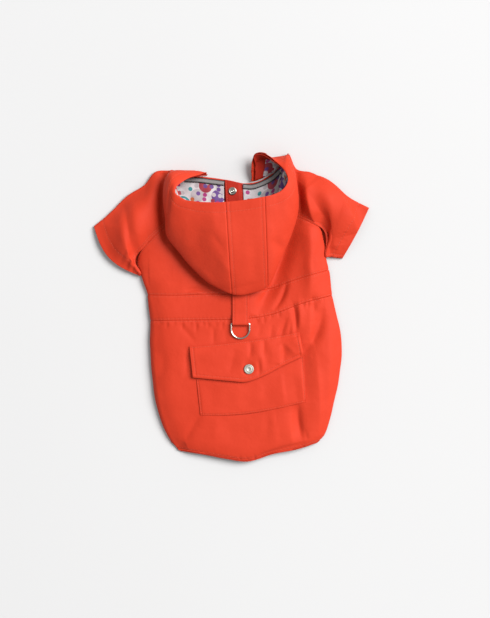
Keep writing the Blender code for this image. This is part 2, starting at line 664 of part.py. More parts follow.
def make_hood():
    """Three panels from the neck to the rim, with a lining and a facing inside."""
    inner_ribs = []
    for name, (first, last, count) in HOOD_PANELS.items():
        ribs = np.linspace(first, last, count)
        inner_ribs += list(ribs[1:])
        ribs[0] += PANEL_GAP * (name != "hood_left")
        ribs[-1] -= PANEL_GAP * (name != "hood_right")
        cloth_piece(name, grid(hood_point, ribs, ALONGS), CLOTH, cloth_material())
    inset = (CLOTH + LINING) / 2 + LINING_GAP
    ribs = [rib for rib in inner_ribs if rib < FACING_LAST_RIB]
    lining, facing = [], []
    lined = (LINING_FIRST_RIB, LINING_LAST_RIB)
    for rib in ribs:
        length = rib_length(rib)
        width = min(FACING_WIDTH, FACING_MOST * length)
        facing.append([hood_point(rib, along_at(rib, length - width * f)) for f in (1, 0.6, 0.3, 0.02)])
        if not lined[0] < rib < lined[1]:
            continue
        foot, top = along_at(rib, min(LINING_FOOT, length / 3)), along_at(rib, length - width - FACING_GAP)
        inner = [a for a in ALONGS if a and abs(a - UNDERSIDE_SHARE) > LINING_SHORT_CUT]
        last = len(inner) - 1
        stations = [min(max(a, foot + SLIVER * k), top - SLIVER * (last - k)) for k, a in enumerate(inner)]
        lining.append([hood_point(rib, a) for a in stations])
    for name, points, finish in (
        ("hood_lining", lining, lining_material()),
        ("hood_facing", facing, facing_material()),
    ):
        across_ribs = np.array(points).transpose(1, 0, 2)
        cloth_piece(name, moved_out(across_ribs, -inset), LINING, finish)


def on_back(lift):
    """A height function for sheets that lie on the back, this far from the middle of its wall."""

    def place(x, y, r):
        point, normal = back_at(x, y)
        return np.array([x, y, point[2]]) + normal * lift(r)

    return place


def flap_lift(r):
    return float(smooth(*table(FLAP_LIFT), r)[0])


def make_pocket():
    """A patch pocket on the skirt, with a pointed flap over its mouth."""
    lying = CLOTH / 2 + SEAM + TRIM / 2
    pocket = flat_sheet(POCKET, 10, 6, on_back(lambda r: lying))
    cloth_piece("pocket", pocket, TRIM, cloth_material())
    flap = flat_sheet(POCKET_FLAP, 12, 6, on_back(flap_lift))
    cloth_piece("pocket_flap", flap, TRIM, cloth_material())


def turned(name, profile, finish, location, steps=24):
    """A turned piece from its profile: (radius, height) pairs from the top down to the base."""
    mesh = bpy.data.meshes.new(name)
    points = [(radius * MM, 0, height * MM) for radius, height in profile]
    mesh.from_pydata(points, [(i, i + 1) for i in range(len(points) - 1)], [])
    made = place_object(name, mesh, finish, [value * MM for value in location])
    screw = made.modifiers.new("turn", "SCREW")
    screw.steps = screw.render_steps = steps
    screw.use_merge_vertices = True
    screw.merge_threshold = 0.00001
    screw.use_smooth_shade = True
    return made


def make_snaps():
    """The cap on the pocket's flap, and the stud inside the neck."""
    x, y = SNAP_PLACE
    _, top_y, _, low_y = POCKET_FLAP[len(POCKET_FLAP) // 2]
    r = (y - top_y) / (low_y - top_y)
    point, normal = back_at(x, y)
    base = np.array([x, y, point[2]]) + normal * (flap_lift(r) + TRIM / 2 + SNAP_SEAT)
    radius, height = SNAP_RADIUS, SNAP_HEIGHT
    cap_profile = (
        (0, height),
        (radius * 0.5, height * 0.97),
        (radius * 0.8, height * 0.85),
        (radius * 0.95, height * 0.6),
        (radius, height * 0.3),
        (radius, 0),
        (0, 0),
    )
    cap = turned("snap_cap", cap_profile, metal_material(), base)
    cap.rotation_euler = (-math.asin(normal[1]), math.asin(normal[0]), 0)
    x, y = STUD_PLACE
    top = FLAT + CLOTH + SEAM + CLOTH / 2 + SEAM + LINING
    radius, height = STUD_RADIUS, STUD_HEIGHT
    stud_profile = (
        (0, height * 0.75),
        (radius * 0.26, height),
        (radius * 0.4, height * 0.85),
        (radius * 0.42, height * 0.3),
        (radius * 0.8, height * 0.42),
        (radius, height * 0.2),
        (radius, 0),
        (0, 0),
    )
    turned("snap_stud", stud_profile, metal_material(), (x, y, top + SEAM))


def ring_height():
    """The height of the ring's bar, in the loop of a strap that lies on the back."""
    point, _ = back_at(STRAP_MIDDLE_X, RING_Y)
    return point[2] + CLOTH / 2 + SEAM + TRIM + SEAM + RING_WIRE / 2


def make_strap():
    """A strap sewn in the waist seam, folded round the ring's bar and back to the seam."""
    loop = RING_WIRE / 2 + SEAM + TRIM / 2
    lying = CLOTH / 2 + SEAM + TRIM / 2
    xs = np.linspace(-STRAP_WIDTH / 2, STRAP_WIDTH / 2, 3) + STRAP_MIDDLE_X
    bar_z = ring_height()
    easing = 13.0
    path = []
    ys = np.linspace(STRAP_TOP_Y, RING_Y, 7)
    for y in ys:
        path.append((y, back_at(STRAP_MIDDLE_X, y)[0][2] + lying))
    for step in range(1, 8):
        angle = math.pi * step / 8
        path.append((RING_Y - loop * math.sin(angle), bar_z - loop * math.cos(angle)))
    for y in list(np.linspace(RING_Y, RING_Y + easing, 5)) + list(ys[:-3][::-1]):
        f = min((y - RING_Y) / easing, 1)
        eased = (TRIM + SEAM) + (2 * loop - TRIM - SEAM) * (1 - f * f * (3 - 2 * f))
        path.append((y, back_at(STRAP_MIDDLE_X, y)[0][2] + lying + eased))
    points = np.array([[(x, y, z) for x in xs] for y, z in path])
    cloth_piece("leash_strap", points, TRIM, cloth_material())


def make_ring():
    """A D of wire whose straight bar lies in the strap's loop. Its origin is on the bar."""
    half = RING_INSIDE / 2 + RING_WIRE / 2
    leg = RING_LENGTH - half
    outline = []
    for step in range(5):
        angle = math.pi / 2 * step / 4
        inner = half - RING_CORNER
        outline.append((inner + RING_CORNER * math.sin(angle), -RING_CORNER * (1 - math.cos(angle))))
    for step in range(1, 16):
        angle = math.pi * step / 16
        outline.append((half * math.cos(angle), -leg - half * math.sin(angle)))
    outline += [(-x, y) for x, y in reversed(outline[:5])]
    curve = bpy.data.curves.new("d_ring", "CURVE")
    curve.dimensions = "3D"
    curve.bevel_depth = RING_WIRE / 2 * MM
    curve.bevel_resolution = 2
    spline = curve.splines.new("POLY")
    spline.points.add(len(outline) - 1)
    for point, (x, y) in zip(spline.points, outline):
        point.co = (x * MM, y * MM, 0, 1)
    spline.use_cyclic_u = True
    spline.use_smooth = True
    location = (STRAP_MIDDLE_X * MM, RING_Y * MM, ring_height() * MM)
    made = place_object("d_ring", curve, metal_material(), location)
    made.rotation_euler = (RING_TILT, 0, 0)


def main():
    for leftover in list(bpy.data.objects):
        bpy.data.objects.remove(leftover, do_unlink=True)
    bpy.context.scene.collection.children.link(bpy.data.collections.new("pet_coat"))
    make_back()
    make_fronts()
    make_placket()
    make_throat_lining()
    make_neck_tape()
    make_sleeves()
    make_hood()
    make_pocket()
    make_snaps()
    make_strap()
    make_ring()


main()
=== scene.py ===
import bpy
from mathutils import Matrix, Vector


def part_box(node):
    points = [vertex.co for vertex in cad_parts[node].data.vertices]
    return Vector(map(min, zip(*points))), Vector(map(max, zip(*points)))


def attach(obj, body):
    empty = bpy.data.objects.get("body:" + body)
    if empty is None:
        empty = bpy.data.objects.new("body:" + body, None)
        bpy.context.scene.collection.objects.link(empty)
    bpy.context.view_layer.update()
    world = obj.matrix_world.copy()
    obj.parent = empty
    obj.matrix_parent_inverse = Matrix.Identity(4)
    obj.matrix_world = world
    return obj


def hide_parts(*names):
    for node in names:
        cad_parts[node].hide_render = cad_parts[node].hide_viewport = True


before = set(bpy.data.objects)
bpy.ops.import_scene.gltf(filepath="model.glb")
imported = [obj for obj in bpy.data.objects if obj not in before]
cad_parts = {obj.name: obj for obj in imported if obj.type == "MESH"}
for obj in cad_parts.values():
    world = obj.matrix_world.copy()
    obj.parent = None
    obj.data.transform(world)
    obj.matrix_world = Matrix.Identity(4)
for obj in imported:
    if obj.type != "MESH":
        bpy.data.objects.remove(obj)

"""Looks of a dog's hooded raincoat that lies flat on a pale floor, back up, seen from straight above.

Lengths are in millimetres until a mesh is made. X runs right, Y from the tail to the head, Z up.
"""

import math

import bpy
import numpy as np
from mathutils import Vector

MM = 0.001
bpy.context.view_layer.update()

# Driving dimensions.
CLOTH = 1.5  # outer cloth with its backing
LINING = 0.9
TRIM = 1.2  # strap, pocket and flap
SEAM = 0.3  # gap between pieces that are sewn together
HOOD_SEAM = 0.9
LINING_GAP = 1.35  # between the hood and its lining, round its folds
FOLD = 3.4  # radius of the cloth's fold at a side
FOLD_MIDDLE = 4.2  # height of that fold's outermost line
BELLY_EDGE, BACK_EDGE = 3.55, 4.4  # heights of the edges at the side seam
FLAT = CLOTH / 2  # middle of a wall that lies on the table
FRONT_SHORTER = 9.0  # the belly ends this far above the back's hem
HEM_BAND_DROP = 0.5

OVERLAP_LEFT, OVERLAP_RIGHT = -8.0, 8.0  # centre front overlap at the neck
OVERLAP_DRIFT = 19.0  # how far it has moved right at the hem
STEP_RUN = 4.0  # the upper front comes down to the table over this
PLACKET_RIGHT = 13.5
PLACKET_LENGTH = 42.0
LINING_END = 108.0  # the throat lining ends at this Y, under the yoke
TAPE_WIDTH = 6.5

STRAP_MIDDLE_X, STRAP_WIDTH, STRAP_TOP_Y = 11.5, 20.0, 16.8
RING_WIRE = 2.2
RING_Y = -20.5

SNAP_RADIUS, SNAP_HEIGHT, SNAP_PLACE = 6.2, 1.9, (22.0, -77.0)

# Each row crosses the back from left to right: where it is on the middle line (down), its two ends,
# its Y at seven even stations, then the heights of its ends and crown and how far its ends fold over.
# Columns: down left right y1 y2 y3 y4 y5 y6 y7 end_z crown_z fold.
BACK_ROWS = {
    "neck": (-119, -60.5, 57, 122.5, 120.5, 119.5, 119, 120, 123, 129, 13, 13.2, 0),
    "raglan_upper": (-98, -81.5, 74.5, 101, 99, 97.5, 98, 101, 107.5, 116, 12.8, 13.4, 0),
    "raglan_lower": (-86, -101.5, 93.5, 82, 82.5, 84, 86, 90, 97.5, 107.5, 11, 13.6, 0),
    "arm": (-72.5, -116.5, 112, 64, 66, 69, 72.5, 79, 87.5, 97.5, 7, 13.8, 0.4),
    "underarm": (-45, -112, 117, 41, 42, 42.5, 45, 49, 56, 62.5, BACK_EDGE, 14, 1),
    "waist_top": (-17, -104, 120.5, 15, 14.5, 16, 17, 22.5, 35, 46, BACK_EDGE, 14.2, 1),
    "waist_low": (15, -97.5, 125.5, -17, -16.5, -16, -15, -9, 4.5, 14.5, BACK_EDGE, 14.6, 1),
    "flap": (46, -97, 136, -47.5, -47.5, -47.5, -46, -44, -39, -35, BACK_EDGE, 15, 1),
    "pocket": (92, -95.5, 135.5, -91, -92.5, -92.5, -92, -90, -86, -82.5, BACK_EDGE, 15, 1),
    "low": (137, -88, 126.5, -131, -134, -136, -137, -135, -130, -125, BACK_EDGE, 13.8, 1),
    "turn": (170, -78.5, 118.5, -161, -165, -168, -170, -167.5, -160, -154, BACK_EDGE, 12.2, 1),
    "hem_seam": (189, -70.5, 113.5, -176.5, -180, -186, -189, -181, -174.5, -165.5, BACK_EDGE, 11.2, 1),
    "hem": (193.5, -68, 112, -180.2, -183.7, -189.2, -192.6, -183.7, -177.7, -168.7, BACK_EDGE, 11, 1),
}
# The same for the belly, which is flat on the table. Below the underarm it follows the back.
FRONT_ROWS = {
    "neck": (-158, -56.5, 53.5, 164, 163, 161, 158, 154.5, 157.5, 168, FLAT, FLAT, 0),
    "upper": (-131, -71.5, 69.5, 135, 134, 132.5, 131, 131, 135, 142.5, FLAT, FLAT, 0),
    "middle": (-105, -91.5, 89.5, 106, 105, 105, 105, 106, 111, 120, FLAT, FLAT, 0),
    "lower": (-75, -110.5, 108.5, 71, 71, 72.5, 75, 79, 85, 92.5, FLAT, FLAT, 0.4),
}

# Each row is a rib round the sleeve, from the back raglan over the fold at the front to the front
# raglan underneath: how far out it is, where it starts and ends on those seams (down), its fold, the
# top's height at its quarters and its outward bow. Past the underarm it starts and ends on the
# sleeve's own seam, which runs to the cuff.
# Columns: reach back_down front_down fold_x fold_y z1 z2 z3 bow.
LEFT_SLEEVE = {
    "neck": (0, -119, -158, -78, 170, 13.3, 12.8, 11, 0),
    "upper": (15, -98, -131, -93, 169.5, 14.5, 14.5, 12.5, 0),
    "middle": (38, -86, -105, -108, 152.5, 17, 18.5, 15, 2),
    "ridge": (66, -72.5, -75, -131.5, 137, 20, 22, 17, 4),
    "underarm": (94, -45, -45, -151.5, 117, 15, 17, 14, 9),
    "cuff": (115, -45, -45, -171.5, 101, 11.5, 12.5, 11, 13),
}
RIGHT_SLEEVE = {
    "neck": (0, -119, -158, 72.5, 190.5, 13.3, 12.8, 11, 0),
    "upper": (21, -98, -131, 82, 172, 14.5, 14.5, 12.5, 0),
    "middle": (39, -86, -105, 99.5, 168, 16.5, 17.5, 14.5, 0),
    "ridge": (59, -72.5, -75, 117, 159, 17, 19, 16, 0),
    "underarm": (90, -45, -45, 142, 140, 15, 17.5, 14.5, 0),
    "cuff": (124, -45, -45, 172, 123.5, 12, 13.5, 11.5, 1),
}
CUFF_SEAM = {"left": (-113.5, 38.5), "right": (138.5, 60)}

# Each rib of the hood starts on the neck's edge, turns at its outermost point and ends on the rim.
# On the neck's edge 0 is the left front corner, 1 to 2 the left sleeve, 2 to 3 the yoke, 3 to 4
# the right sleeve and 5 the right front corner. Tuck is how far the rib starts straight up, and
# round how far it bulges between its turn and the rim, from 1 for straight to 2 for a quarter circle.
# Columns: edge turn_x turn_y turn_z rim_x rim_y rim_z tuck round.
HOOD_RIBS = (
    (0.0, -31, 166, 4, -30.5, 167, 8.5, 0, 1.0),
    (0.5, -43, 169, 9, -40, 163.5, 18, 0, 1.3),
    (1.0, -55.5, 169.5, 13, -50.5, 160, 27, 0.2, 1.6),
    (1.25, -69.5, 169, 16, -60.5, 153.5, 35, 0.5, 1.8),
    (1.44, -78, 164.5, 19, -67.5, 146.5, 40, 0.8, 1.9),
    (1.65, -83, 150.5, 21, -68, 139, 42, 1, 1.9),
    (1.85, -84, 132.5, 22, -62.5, 135, 43, 1, 1.9),
    (2.0, -81, 111, 23, -55, 131, 44.5, 1, 1.8),
    (2.1, -79, 89, 23, -45.5, 129.5, 46, 1, 1.6),
    (2.2, -62.5, 67, 23, -36, 128.5, 47, 1, 1.45),
    (2.3, -43.5, 45.5, 23.5, -23, 128, 48, 1, 1.4),
    (2.4, -25, 30, 24, -13.5, 128, 48.7, 1, 1.35),
    (2.5, 1, 17, 24.5, -6.5, 128.5, 49.2, 1, 1.35),
    (2.61, 22.5, 17.5, 24.5, 17.5, 131, 50, 1, 1.35),
    (2.73, 45, 26.5, 24.5, 41.5, 135, 50, 1, 1.35),
    (2.8, 57.5, 54.5, 24, 50, 137, 49.4, 1, 1.4),
    (2.87, 70, 80, 23.5, 54, 138.5, 48.5, 1, 1.45),
    (2.94, 77.5, 100, 23.5, 59.5, 141, 47.5, 1, 1.6),
    (3.0, 81.5, 116.5, 23, 64, 144.5, 46, 1, 1.8),
    (3.2, 82.5, 132.5, 23, 67.5, 149, 44, 1, 1.9),
    (3.38, 81.5, 148.5, 22, 70, 155, 41.5, 1, 1.8),
    (3.46, 79, 163.5, 19, 69.5, 160.5, 39, 0.8, 1.6),
    (3.52, 75, 178, 14.5, 68, 164, 37, 0.6, 1.5),
    (3.6, 70.5, 188, 10, 65.5, 168.5, 34.5, 0.4, 1.4),
    (3.75, 65.5, 187.5, 10, 62, 173, 32, 0.2, 1.3),
    (4.0, 57.5, 186.5, 10, 56.5, 178.5, 29, 0, 1.2),
    (4.3, 49.5, 185.5, 10, 49, 185, 26, 0, 1.1),
    (4.6, 41, 186, 9.5, 41, 190, 23, 0, 1.1),
    (4.8, 33, 184, 9, 33.5, 191, 20, 0, 1.1),
    (4.9, 29, 177.5, 8, 28, 188, 16.5, 0, 1.1),
    (4.96, 27, 162, 5, 26.5, 177, 12, 0, 1.0),
    (5.0, 27, 157, 3.5, 27, 161.5, 7, 0, 1.0),
)
# The ribs at which the three panels start and end, and how many steps each has.
HOOD_PANELS = {"hood_left": (0, 12, 150), "hood_centre": (12, 14, 44), "hood_right": (14, 31, 190)}
# The underside of the hood: along it, how far out it has gone and how high, from neck to turn.
TUCK_PROFILE = ((0, 0, 0), (0.2, 0, 0.28), (0.4, 0.06, 0.44), (0.7, 0.5, 0.5), (0.9, 0.9, 0.62), (1, 1, 1))
FACING_MOST = 0.4  # of a rib's length, that the facing takes up
LINING_FOOT = 4.5  # the lining starts this far up from the neck's edge
LINING_FIRST_RIB = 4.2  # before it the hood is too narrow for a lining
FACING_LAST_RIB = 29.2
LINING_SHORT_CUT = 0.06  # of a rib: how near the hood's turn the lining stays out of the fold
FACING_GAP = 1.6

# Sheets that lie on the back: for each station from left to right, the upper and lower ends.
# Columns: top_x top_y low_x low_y.
POCKET = (
    (-46, -60, -38, -134.5),
    (-12, -57.5, -4, -134.3),
    (22, -54, 29.5, -131),
    (56, -49.5, 62, -125),
    (88.5, -44.5, 93, -118),
)
POCKET_FLAP = (
    (-51.5, -49, -47, -87.5),
    (-29, -47.5, -24, -89.7),
    (-6, -45.3, 0, -91.9),
    (17, -42.5, 19, -92.6),
    (40, -39.3, 41, -85),
    (62, -35.5, 64, -73),
    (84.5, -31, 89.5, -61),
)
# How far the flap's middle stands above the back's, from its sewn edge to its free one.
FLAP_LIFT = ((0, 1.65), (0.22, 3.3), (0.6, 3.7), (1, 4.8))
THROAT_LINING_LEFT = (
    (-72, 164.5, -72, LINING_END),
    (-56.5, 161.5, -56.5, LINING_END),
    (-33, 160, -33, LINING_END),
    (-9, 157.6, -9, LINING_END),
)
THROAT_LINING_RIGHT = (
    (14.2, 153.6, 16.8, LINING_END),
    (28, 153.2, 29, LINING_END),
    (41, 158, 41, LINING_END),
    (54, 166.5, 54, LINING_END),
    (66, 180, 66, LINING_END),
)
# The middle line of each tape, x and y, from the placket outwards.
NECK_TAPE_LEFT = ((-9, 154.5), (-25, 156.5), (-42, 158.5), (-58, 159))
NECK_TAPE_RIGHT = ((14.8, 150.6), (27, 150.2), (40, 154.6), (51.5, 161), (60.5, 169.5))
FOLD_SHARE = 0.06  # of u from 0 to 1, the part that runs round a side fold
CROWN_POWER = 2.4
# Round a sleeve: its seam's fold, its top, over the fold, under the fold, its underside, its seam's fold.
SLEEVE_ZONES = (0, 0.06, 0.5, 0.56, 0.62, 0.94, 1)
UNDERSIDE_SHARE = 0.45  # of a rib, from the neck to its turn
PANEL_GAP = 0.001  # of a rib, so that neighbours just don't touch

# Looks. Places in the crease tables are the photograph's pixels.
PIXEL, PHOTO_ZERO = 1.25, (231.25, 307.0)  # millimetres a pixel, and the pixel of the origin
PHOTO_MIDDLE = (17.2, -2.5)  # the point under the camera, which looks straight down
CAMERA_HEIGHT, CAMERA_LENS = 2200.0, 102.5

SHOWN_CLOTH, SHOWN_TRIM, SHOWN_THROAT = 0.7, 0.75, 0.6  # thickness of the shown shells
EDGE_SINK, HEM_SINK, CUFF_SINK = 0.45, 2.5, 0.5  # how much flatter the coat lies at its edges
SHOWN_SEAM = 0.06  # the gap that shows between two sewn pieces
SEAM_ROLL, SEAM_DIP = 0.8, 0.55  # width and depth of the groove along a seam
# How far in the hood's facing shows, by rib, in millimetres.
FACING_SHOWN = ((0, 13), (11, 13), (14, 4.5), (22.5, 4.5), (24.5, 9), (26.6, 12), (27.6, 30), (30, 30))
LINING_SHOWN_RIB = 21.6
# The low front of the hood's inside: the ribs and stations that its lining and its facing cover.
LINING_FRONT = ((23.2, 26.7), (0.04, 0.42))
FACING_FRONT = ((26.75, 29.6), (0.04, 0.42))

NECK_FADE = 7.0  # how near the neck's seam the creases end
NECK_STANDS = 22.0  # how far from the neck a sleeve's fold keeps its full height
FLOOR_DOWN = 0.65  # the floor, under the belly's puckers and stitches
STITCH_GROOVE, STITCH_WIDTH = 0.32, 0.9
PUCKER_WIDTH, PUCKER_PACE = 3.2, 1.25  # of the gathers along a line of stitches
CREASE_STEPS, CREASE_POWER = 10, 1.7
# Heights at which the places of the creases on each part are read.
BACK_LEVEL, POCKET_LEVEL, FLAP_LEVEL, HOOD_LEVEL = 15, 18, 20, 38
SIDE_REACH, HEM_REACH, CUFF_REACH = 13, 12, 20  # how far in from an edge the coat lies flatter
SLEEVE_STEPS = (8, 78, 9, 9, 40, 8)  # in each zone round a sleeve
SLEEVE_FOLD = (0.53, 0.1)  # the place and width, round a sleeve, of the fold that lies flatter
GRID_STEP, GRID_FINE = 1.15, 0.45  # between rows, and between those near a seam
POCKET_DEPTH, FLAP_DEPTH = 74, 45
SNAP_DIMPLE, SNAP_DIMPLE_RADIUS = 1.3, 8.5
STRAP_EASING = 13.0  # length over which the strap's upper layer closes up beyond the ring

# Each crease is a line bent towards its middle point, from its start to its end, with its width to the
# left and to the right of its way, and its height, negative for a trough. Upright ones run upwards.
# Columns: x0 y0 xm ym x1 y1 left right height.
BACK_CREASES = (
    # broad swells along the sides
    (168, 446, 154, 372, 150, 288, 6, 30, 5.0),
    (322, 436, 333, 372, 327, 318, 26, 6, 3.0),
    # the left sleeve: the valley beside the hood, the fold down its middle and the puckers underneath
    (167, 246, 160, 206, 164, 166, 6, 5, -8.5),
    (137, 263, 128, 236, 124, 202, 6, 6.5, -4.2),
    (142, 262, 137, 236, 134, 203, 4, 14, 0.6),
    (125, 268, 129, 262, 132, 253, 2.5, 2.5, -1.6),
    (131, 274, 134, 265, 138, 256, 2.2, 2.2, -1.7),
    (119, 262, 124, 256, 126, 249, 2.5, 2.5, -1.0),
    (128, 271, 131, 263, 135, 255, 1.6, 1.6, 1.0),
    (104, 247, 112, 243, 122, 240, 6, 6, -0.8),
    (104, 232, 114, 222, 119, 208, 9, 7, 0.9),
    # the yoke's left side, in the hood's shadow
    (227, 297, 180, 266, 164, 212, 8, 12, -5.0),
    (147, 290, 144, 270, 141, 254, 4, 6, 1.0),
    (184, 292.5, 197, 285.5, 211, 294, 2.5, 1.6, -1.6),
    (187, 295, 198, 289.5, 208, 296, 1.6, 2.2, 0.9),
    (168, 285, 174, 282, 182, 281, 5, 5, -0.6),
    # the right sleeve: the valley beside the hood, its ridge, the slope under its upper edge
    (301, 216, 298, 190, 296, 165, 5, 3.5, -8.0),
    (318, 226, 306, 208, 306, 176, 3.5, 7, 4.0),
    (331, 258, 330, 246, 324, 231, 2.5, 6, -4.8),
    (334, 248, 327, 218, 306, 188, 6, 13, -7.0),
    (357, 234, 350, 205, 316, 174, 19, 6, 7.5),
    (336, 246, 338, 240, 343, 236, 2.5, 2.5, -0.9),
    (340, 250, 343, 243, 348, 240, 2.0, 2.0, -0.7),
    (310, 222, 320, 214, 332, 212, 5, 5, -0.9),
    # the yoke's right side
    (256, 318, 287, 262, 299, 196, 8, 10, -11.0),
    (324, 338, 327, 278, 316, 224, 14, 6, 1.6),
    (309, 300, 312, 258, 309, 220, 7, 9, 5.5),
    (313, 273, 312, 262, 313, 253, 2.5, 2.5, -1.1),
    (267, 288, 273, 278, 282, 270, 3, 3, 1.1),
    (276, 288, 281, 281, 287, 276, 2.5, 2.5, -0.9),
    # the waistband's right end and the skirt below it
    (276, 402, 278, 355, 287, 310, 16, 20, -4.0),
    (273, 311, 285, 298, 287, 280, 3, 2.5, -3.2),
    (258, 304, 266, 296, 268, 286, 2.5, 2.5, -1.3),
    (296, 331, 297, 315, 293, 303, 3, 2.0, -3.2),
    (299, 331, 301, 314, 298, 298, 2.0, 4.0, 1.5),
    (313, 313, 315, 304, 312, 296, 3, 3, -1.9),
    (302, 353, 324, 333, 322, 307, 6, 4.5, -4.0),
    (306, 404, 306, 365, 303, 343, 12, 9, -3.2),
    (333, 330, 331, 312, 326, 299, 4, 5, 0.8),
    (280, 340, 283, 329, 287, 317, 2.5, 2.5, -1.7),
    (270, 340, 271, 333, 273, 324, 2.0, 2.0, -1.0),
    (289, 336, 290, 329, 292, 320, 2.0, 2.0, -1.1),
    (275, 339, 277, 333, 279, 327, 1.8, 1.8, 0.7),
    (258, 338, 259, 330, 262, 324, 3, 3, -0.7),
    (178, 322, 187, 333, 196, 343, 3, 3, -0.9),
    (213, 346, 214, 335, 213, 325, 2.5, 2.5, -0.9),
    (226, 344, 226, 336, 225, 328, 3, 3, -0.6),
    (162, 377, 166, 363, 163, 349, 5, 5, -1.1),
    (186, 378, 188, 360, 186, 345, 3, 3, -1.0),
    # below the pocket, and the hem
    (303, 442, 297, 421, 298, 403, 7, 3.5, -4.2),
    (318, 440, 321, 400, 315, 352, 17, 4, 2.4),
    (292, 446, 290, 428, 291, 412, 12, 3, 1.2),
    (275, 448, 276, 432, 277, 414, 11, 3, 0.8),
    (311, 350, 309, 332, 311, 306, 12, 3, 1.8),
    (293, 345, 292, 332, 293, 314, 9, 3, 1.4),
    (307, 441, 307, 436, 305, 430, 2, 2, -0.9),
    (184, 443, 192, 427, 201, 413, 4, 4, -1.4),
    (266, 440, 268, 424, 268, 410, 5, 4, -0.8),
    (277, 432, 277, 420, 275, 407, 3, 3, -0.5),
    (231, 446, 232, 430, 230, 418, 8, 8, -0.5),
    (216, 440, 214, 428, 217, 417, 5, 5, 0.5),
    (175, 451, 180, 446, 186, 444, 5, 5, -1.9),
    (256, 457.5, 276, 449, 307, 443, 1.6, 3, -1.5),
    (240, 462, 240, 459, 240, 455.5, 0.9, 0.9, -0.6),
    (254.8, 462, 254.8, 459, 254.8, 455.5, 0.9, 1.2, -0.8),
    (247, 461, 247, 459, 247.5, 456.5, 1.0, 1.0, -0.3),
    (190, 452, 205, 453, 222, 457, 1.2, 2, 0.5),
)
# Slow swells: wavelength, direction in degrees, phase and height.
BACK_SWELL = ((96, 20, 0.3, 0.55), (61, -38, 1.1, 0.35), (34, 75, 0.4, 0.12))
# The small puckers that hang from a seam: pixel, length and depth.
WAIST_PUCKERS = (
    (161, 321.0, 4, 0.4), (167, 321.2, 8, 0.7), (174, 321.3, 5, 0.4), (182, 321.4, 9, 0.6),
    (190, 321.4, 5, 0.4), (196, 321.5, 11, 0.8), (203, 321.6, 5, 0.4), (208, 321.6, 7, 0.7),
    (216, 321.6, 6, 0.4), (222, 321.7, 8, 0.6), (257, 318.5, 6, 0.5), (264, 316.5, 7, 0.7),
    (271, 313.8, 5, 0.5), (279, 310.5, 8, 0.6), (303, 301.5, 6, 0.8), (308, 300.2, 8, 0.9),
    (317, 298.0, 6, 0.6), (323, 297.0, 7, 0.5),
)
# On the underside the cloth lies on the table, so its tucks only rise into the coat. Millimetres.
BELLY_CREASES = (
    (-80, 35, -52, 22, -22, 26, 5, 3, 2.0),
    (-84, -5, -50, 6, -30, 18, 3, 6, 1.6),
    (96, 40, 66, 30, 40, 34, 3, 5, 1.9),
    (108, 2, 74, 10, 52, 24, 6, 3, 1.7),
    (-70, -70, -40, -52, -18, -58, 4, 6, 1.4),
    (-62, -118, -36, -96, -20, -70, 3, 5, 1.7),
    (104, -96, 78, -84, 50, -88, 5, 4, 1.4),
    (96, -142, 78, -118, 70, -84, 3, 4, 1.8),
    (-92, 66, -70, 74, -46, 92, 4, 4, 1.3),
    (94, 82, 76, 86, 58, 104, 4, 5, 1.4),
    (-30, -150, -22, -128, -26, -104, 3, 4, 1.2),
    (40, -150, 46, -122, 38, -98, 4, 3, 1.1),
    (-140, 96, -124, 88, -104, 92, 4, 5, 1.6),
    (146, 96, 128, 100, 112, 110, 5, 4, 1.6),
    (-28, 60, -14, 84, -18, 112, 3, 4, 1.0),
    (44, 66, 38, 88, 44, 112, 4, 3, 1.1),
)
HOOD_CREASES = (
    # its crest, left of the middle
    (233, 290, 223, 246, 214, 203, 26, 48, 5.0),
    # the hood's left front, where it folds down beside the mouth
    (169, 215, 166, 194, 174, 180, 2.2, 3.0, -1.8),
    (164.5, 207, 162.5, 188, 171, 174, 2.0, 2.4, -1.5),
    (171, 232, 168, 214, 176, 194, 3, 5, 1.1),
    # facets of the left panel
    (223, 242, 211, 228, 215, 206, 9, 6, 1.0),
    (226, 254, 220, 242, 212, 232, 4, 5, -1.1),
    (230, 272, 225, 263, 221, 257, 4, 4, 0.8),
    (206, 268, 200, 250, 196, 226, 9, 9, -0.9),
    (190, 250, 184, 236, 186, 214, 8, 8, 0.7),
    (216, 286, 208, 276, 200, 268, 4, 4, 0.6),
    # the centre and right panels
    (246, 286, 247, 260, 244, 226, 7, 7, 0.5),
    (254, 280, 255, 262, 253, 240, 4, 4, -0.4),
    (286, 252, 277, 243, 270, 239, 4, 4, -1.1),
    (281, 246, 281, 226, 284, 206, 7, 6, 0.9),
    (272, 268, 274, 256, 278, 248, 4, 4, 0.6),
    (294, 216, 290, 208, 289, 198, 4, 4, -0.8),
    (287, 190, 292, 180, 288, 166, 3, 3, -0.8),
)
HOOD_SWELL = ((52, 12, 0.6, 0.35), (37, -50, 2.0, 0.2))
POCKET_CREASES = (
    (236, 411, 239, 396, 236, 382, 10, 9, 0.9),
    (297, 402, 296, 390, 293, 372, 6, 5, -1.0),
    (212, 410, 211, 397, 214, 384, 6, 6, -0.6),
    (262, 408, 264, 394, 263, 382, 5, 6, -0.6),
    (284, 405, 282, 390, 280, 372, 12, 3, 1.3),
    (303, 402, 302, 385, 300, 364, 12, 3, 1.5),
    (261, 409, 262, 395, 260, 380, 12, 4, 0.8),
    (204, 412, 203, 400, 202, 386, 3, 4, 0.4),
)
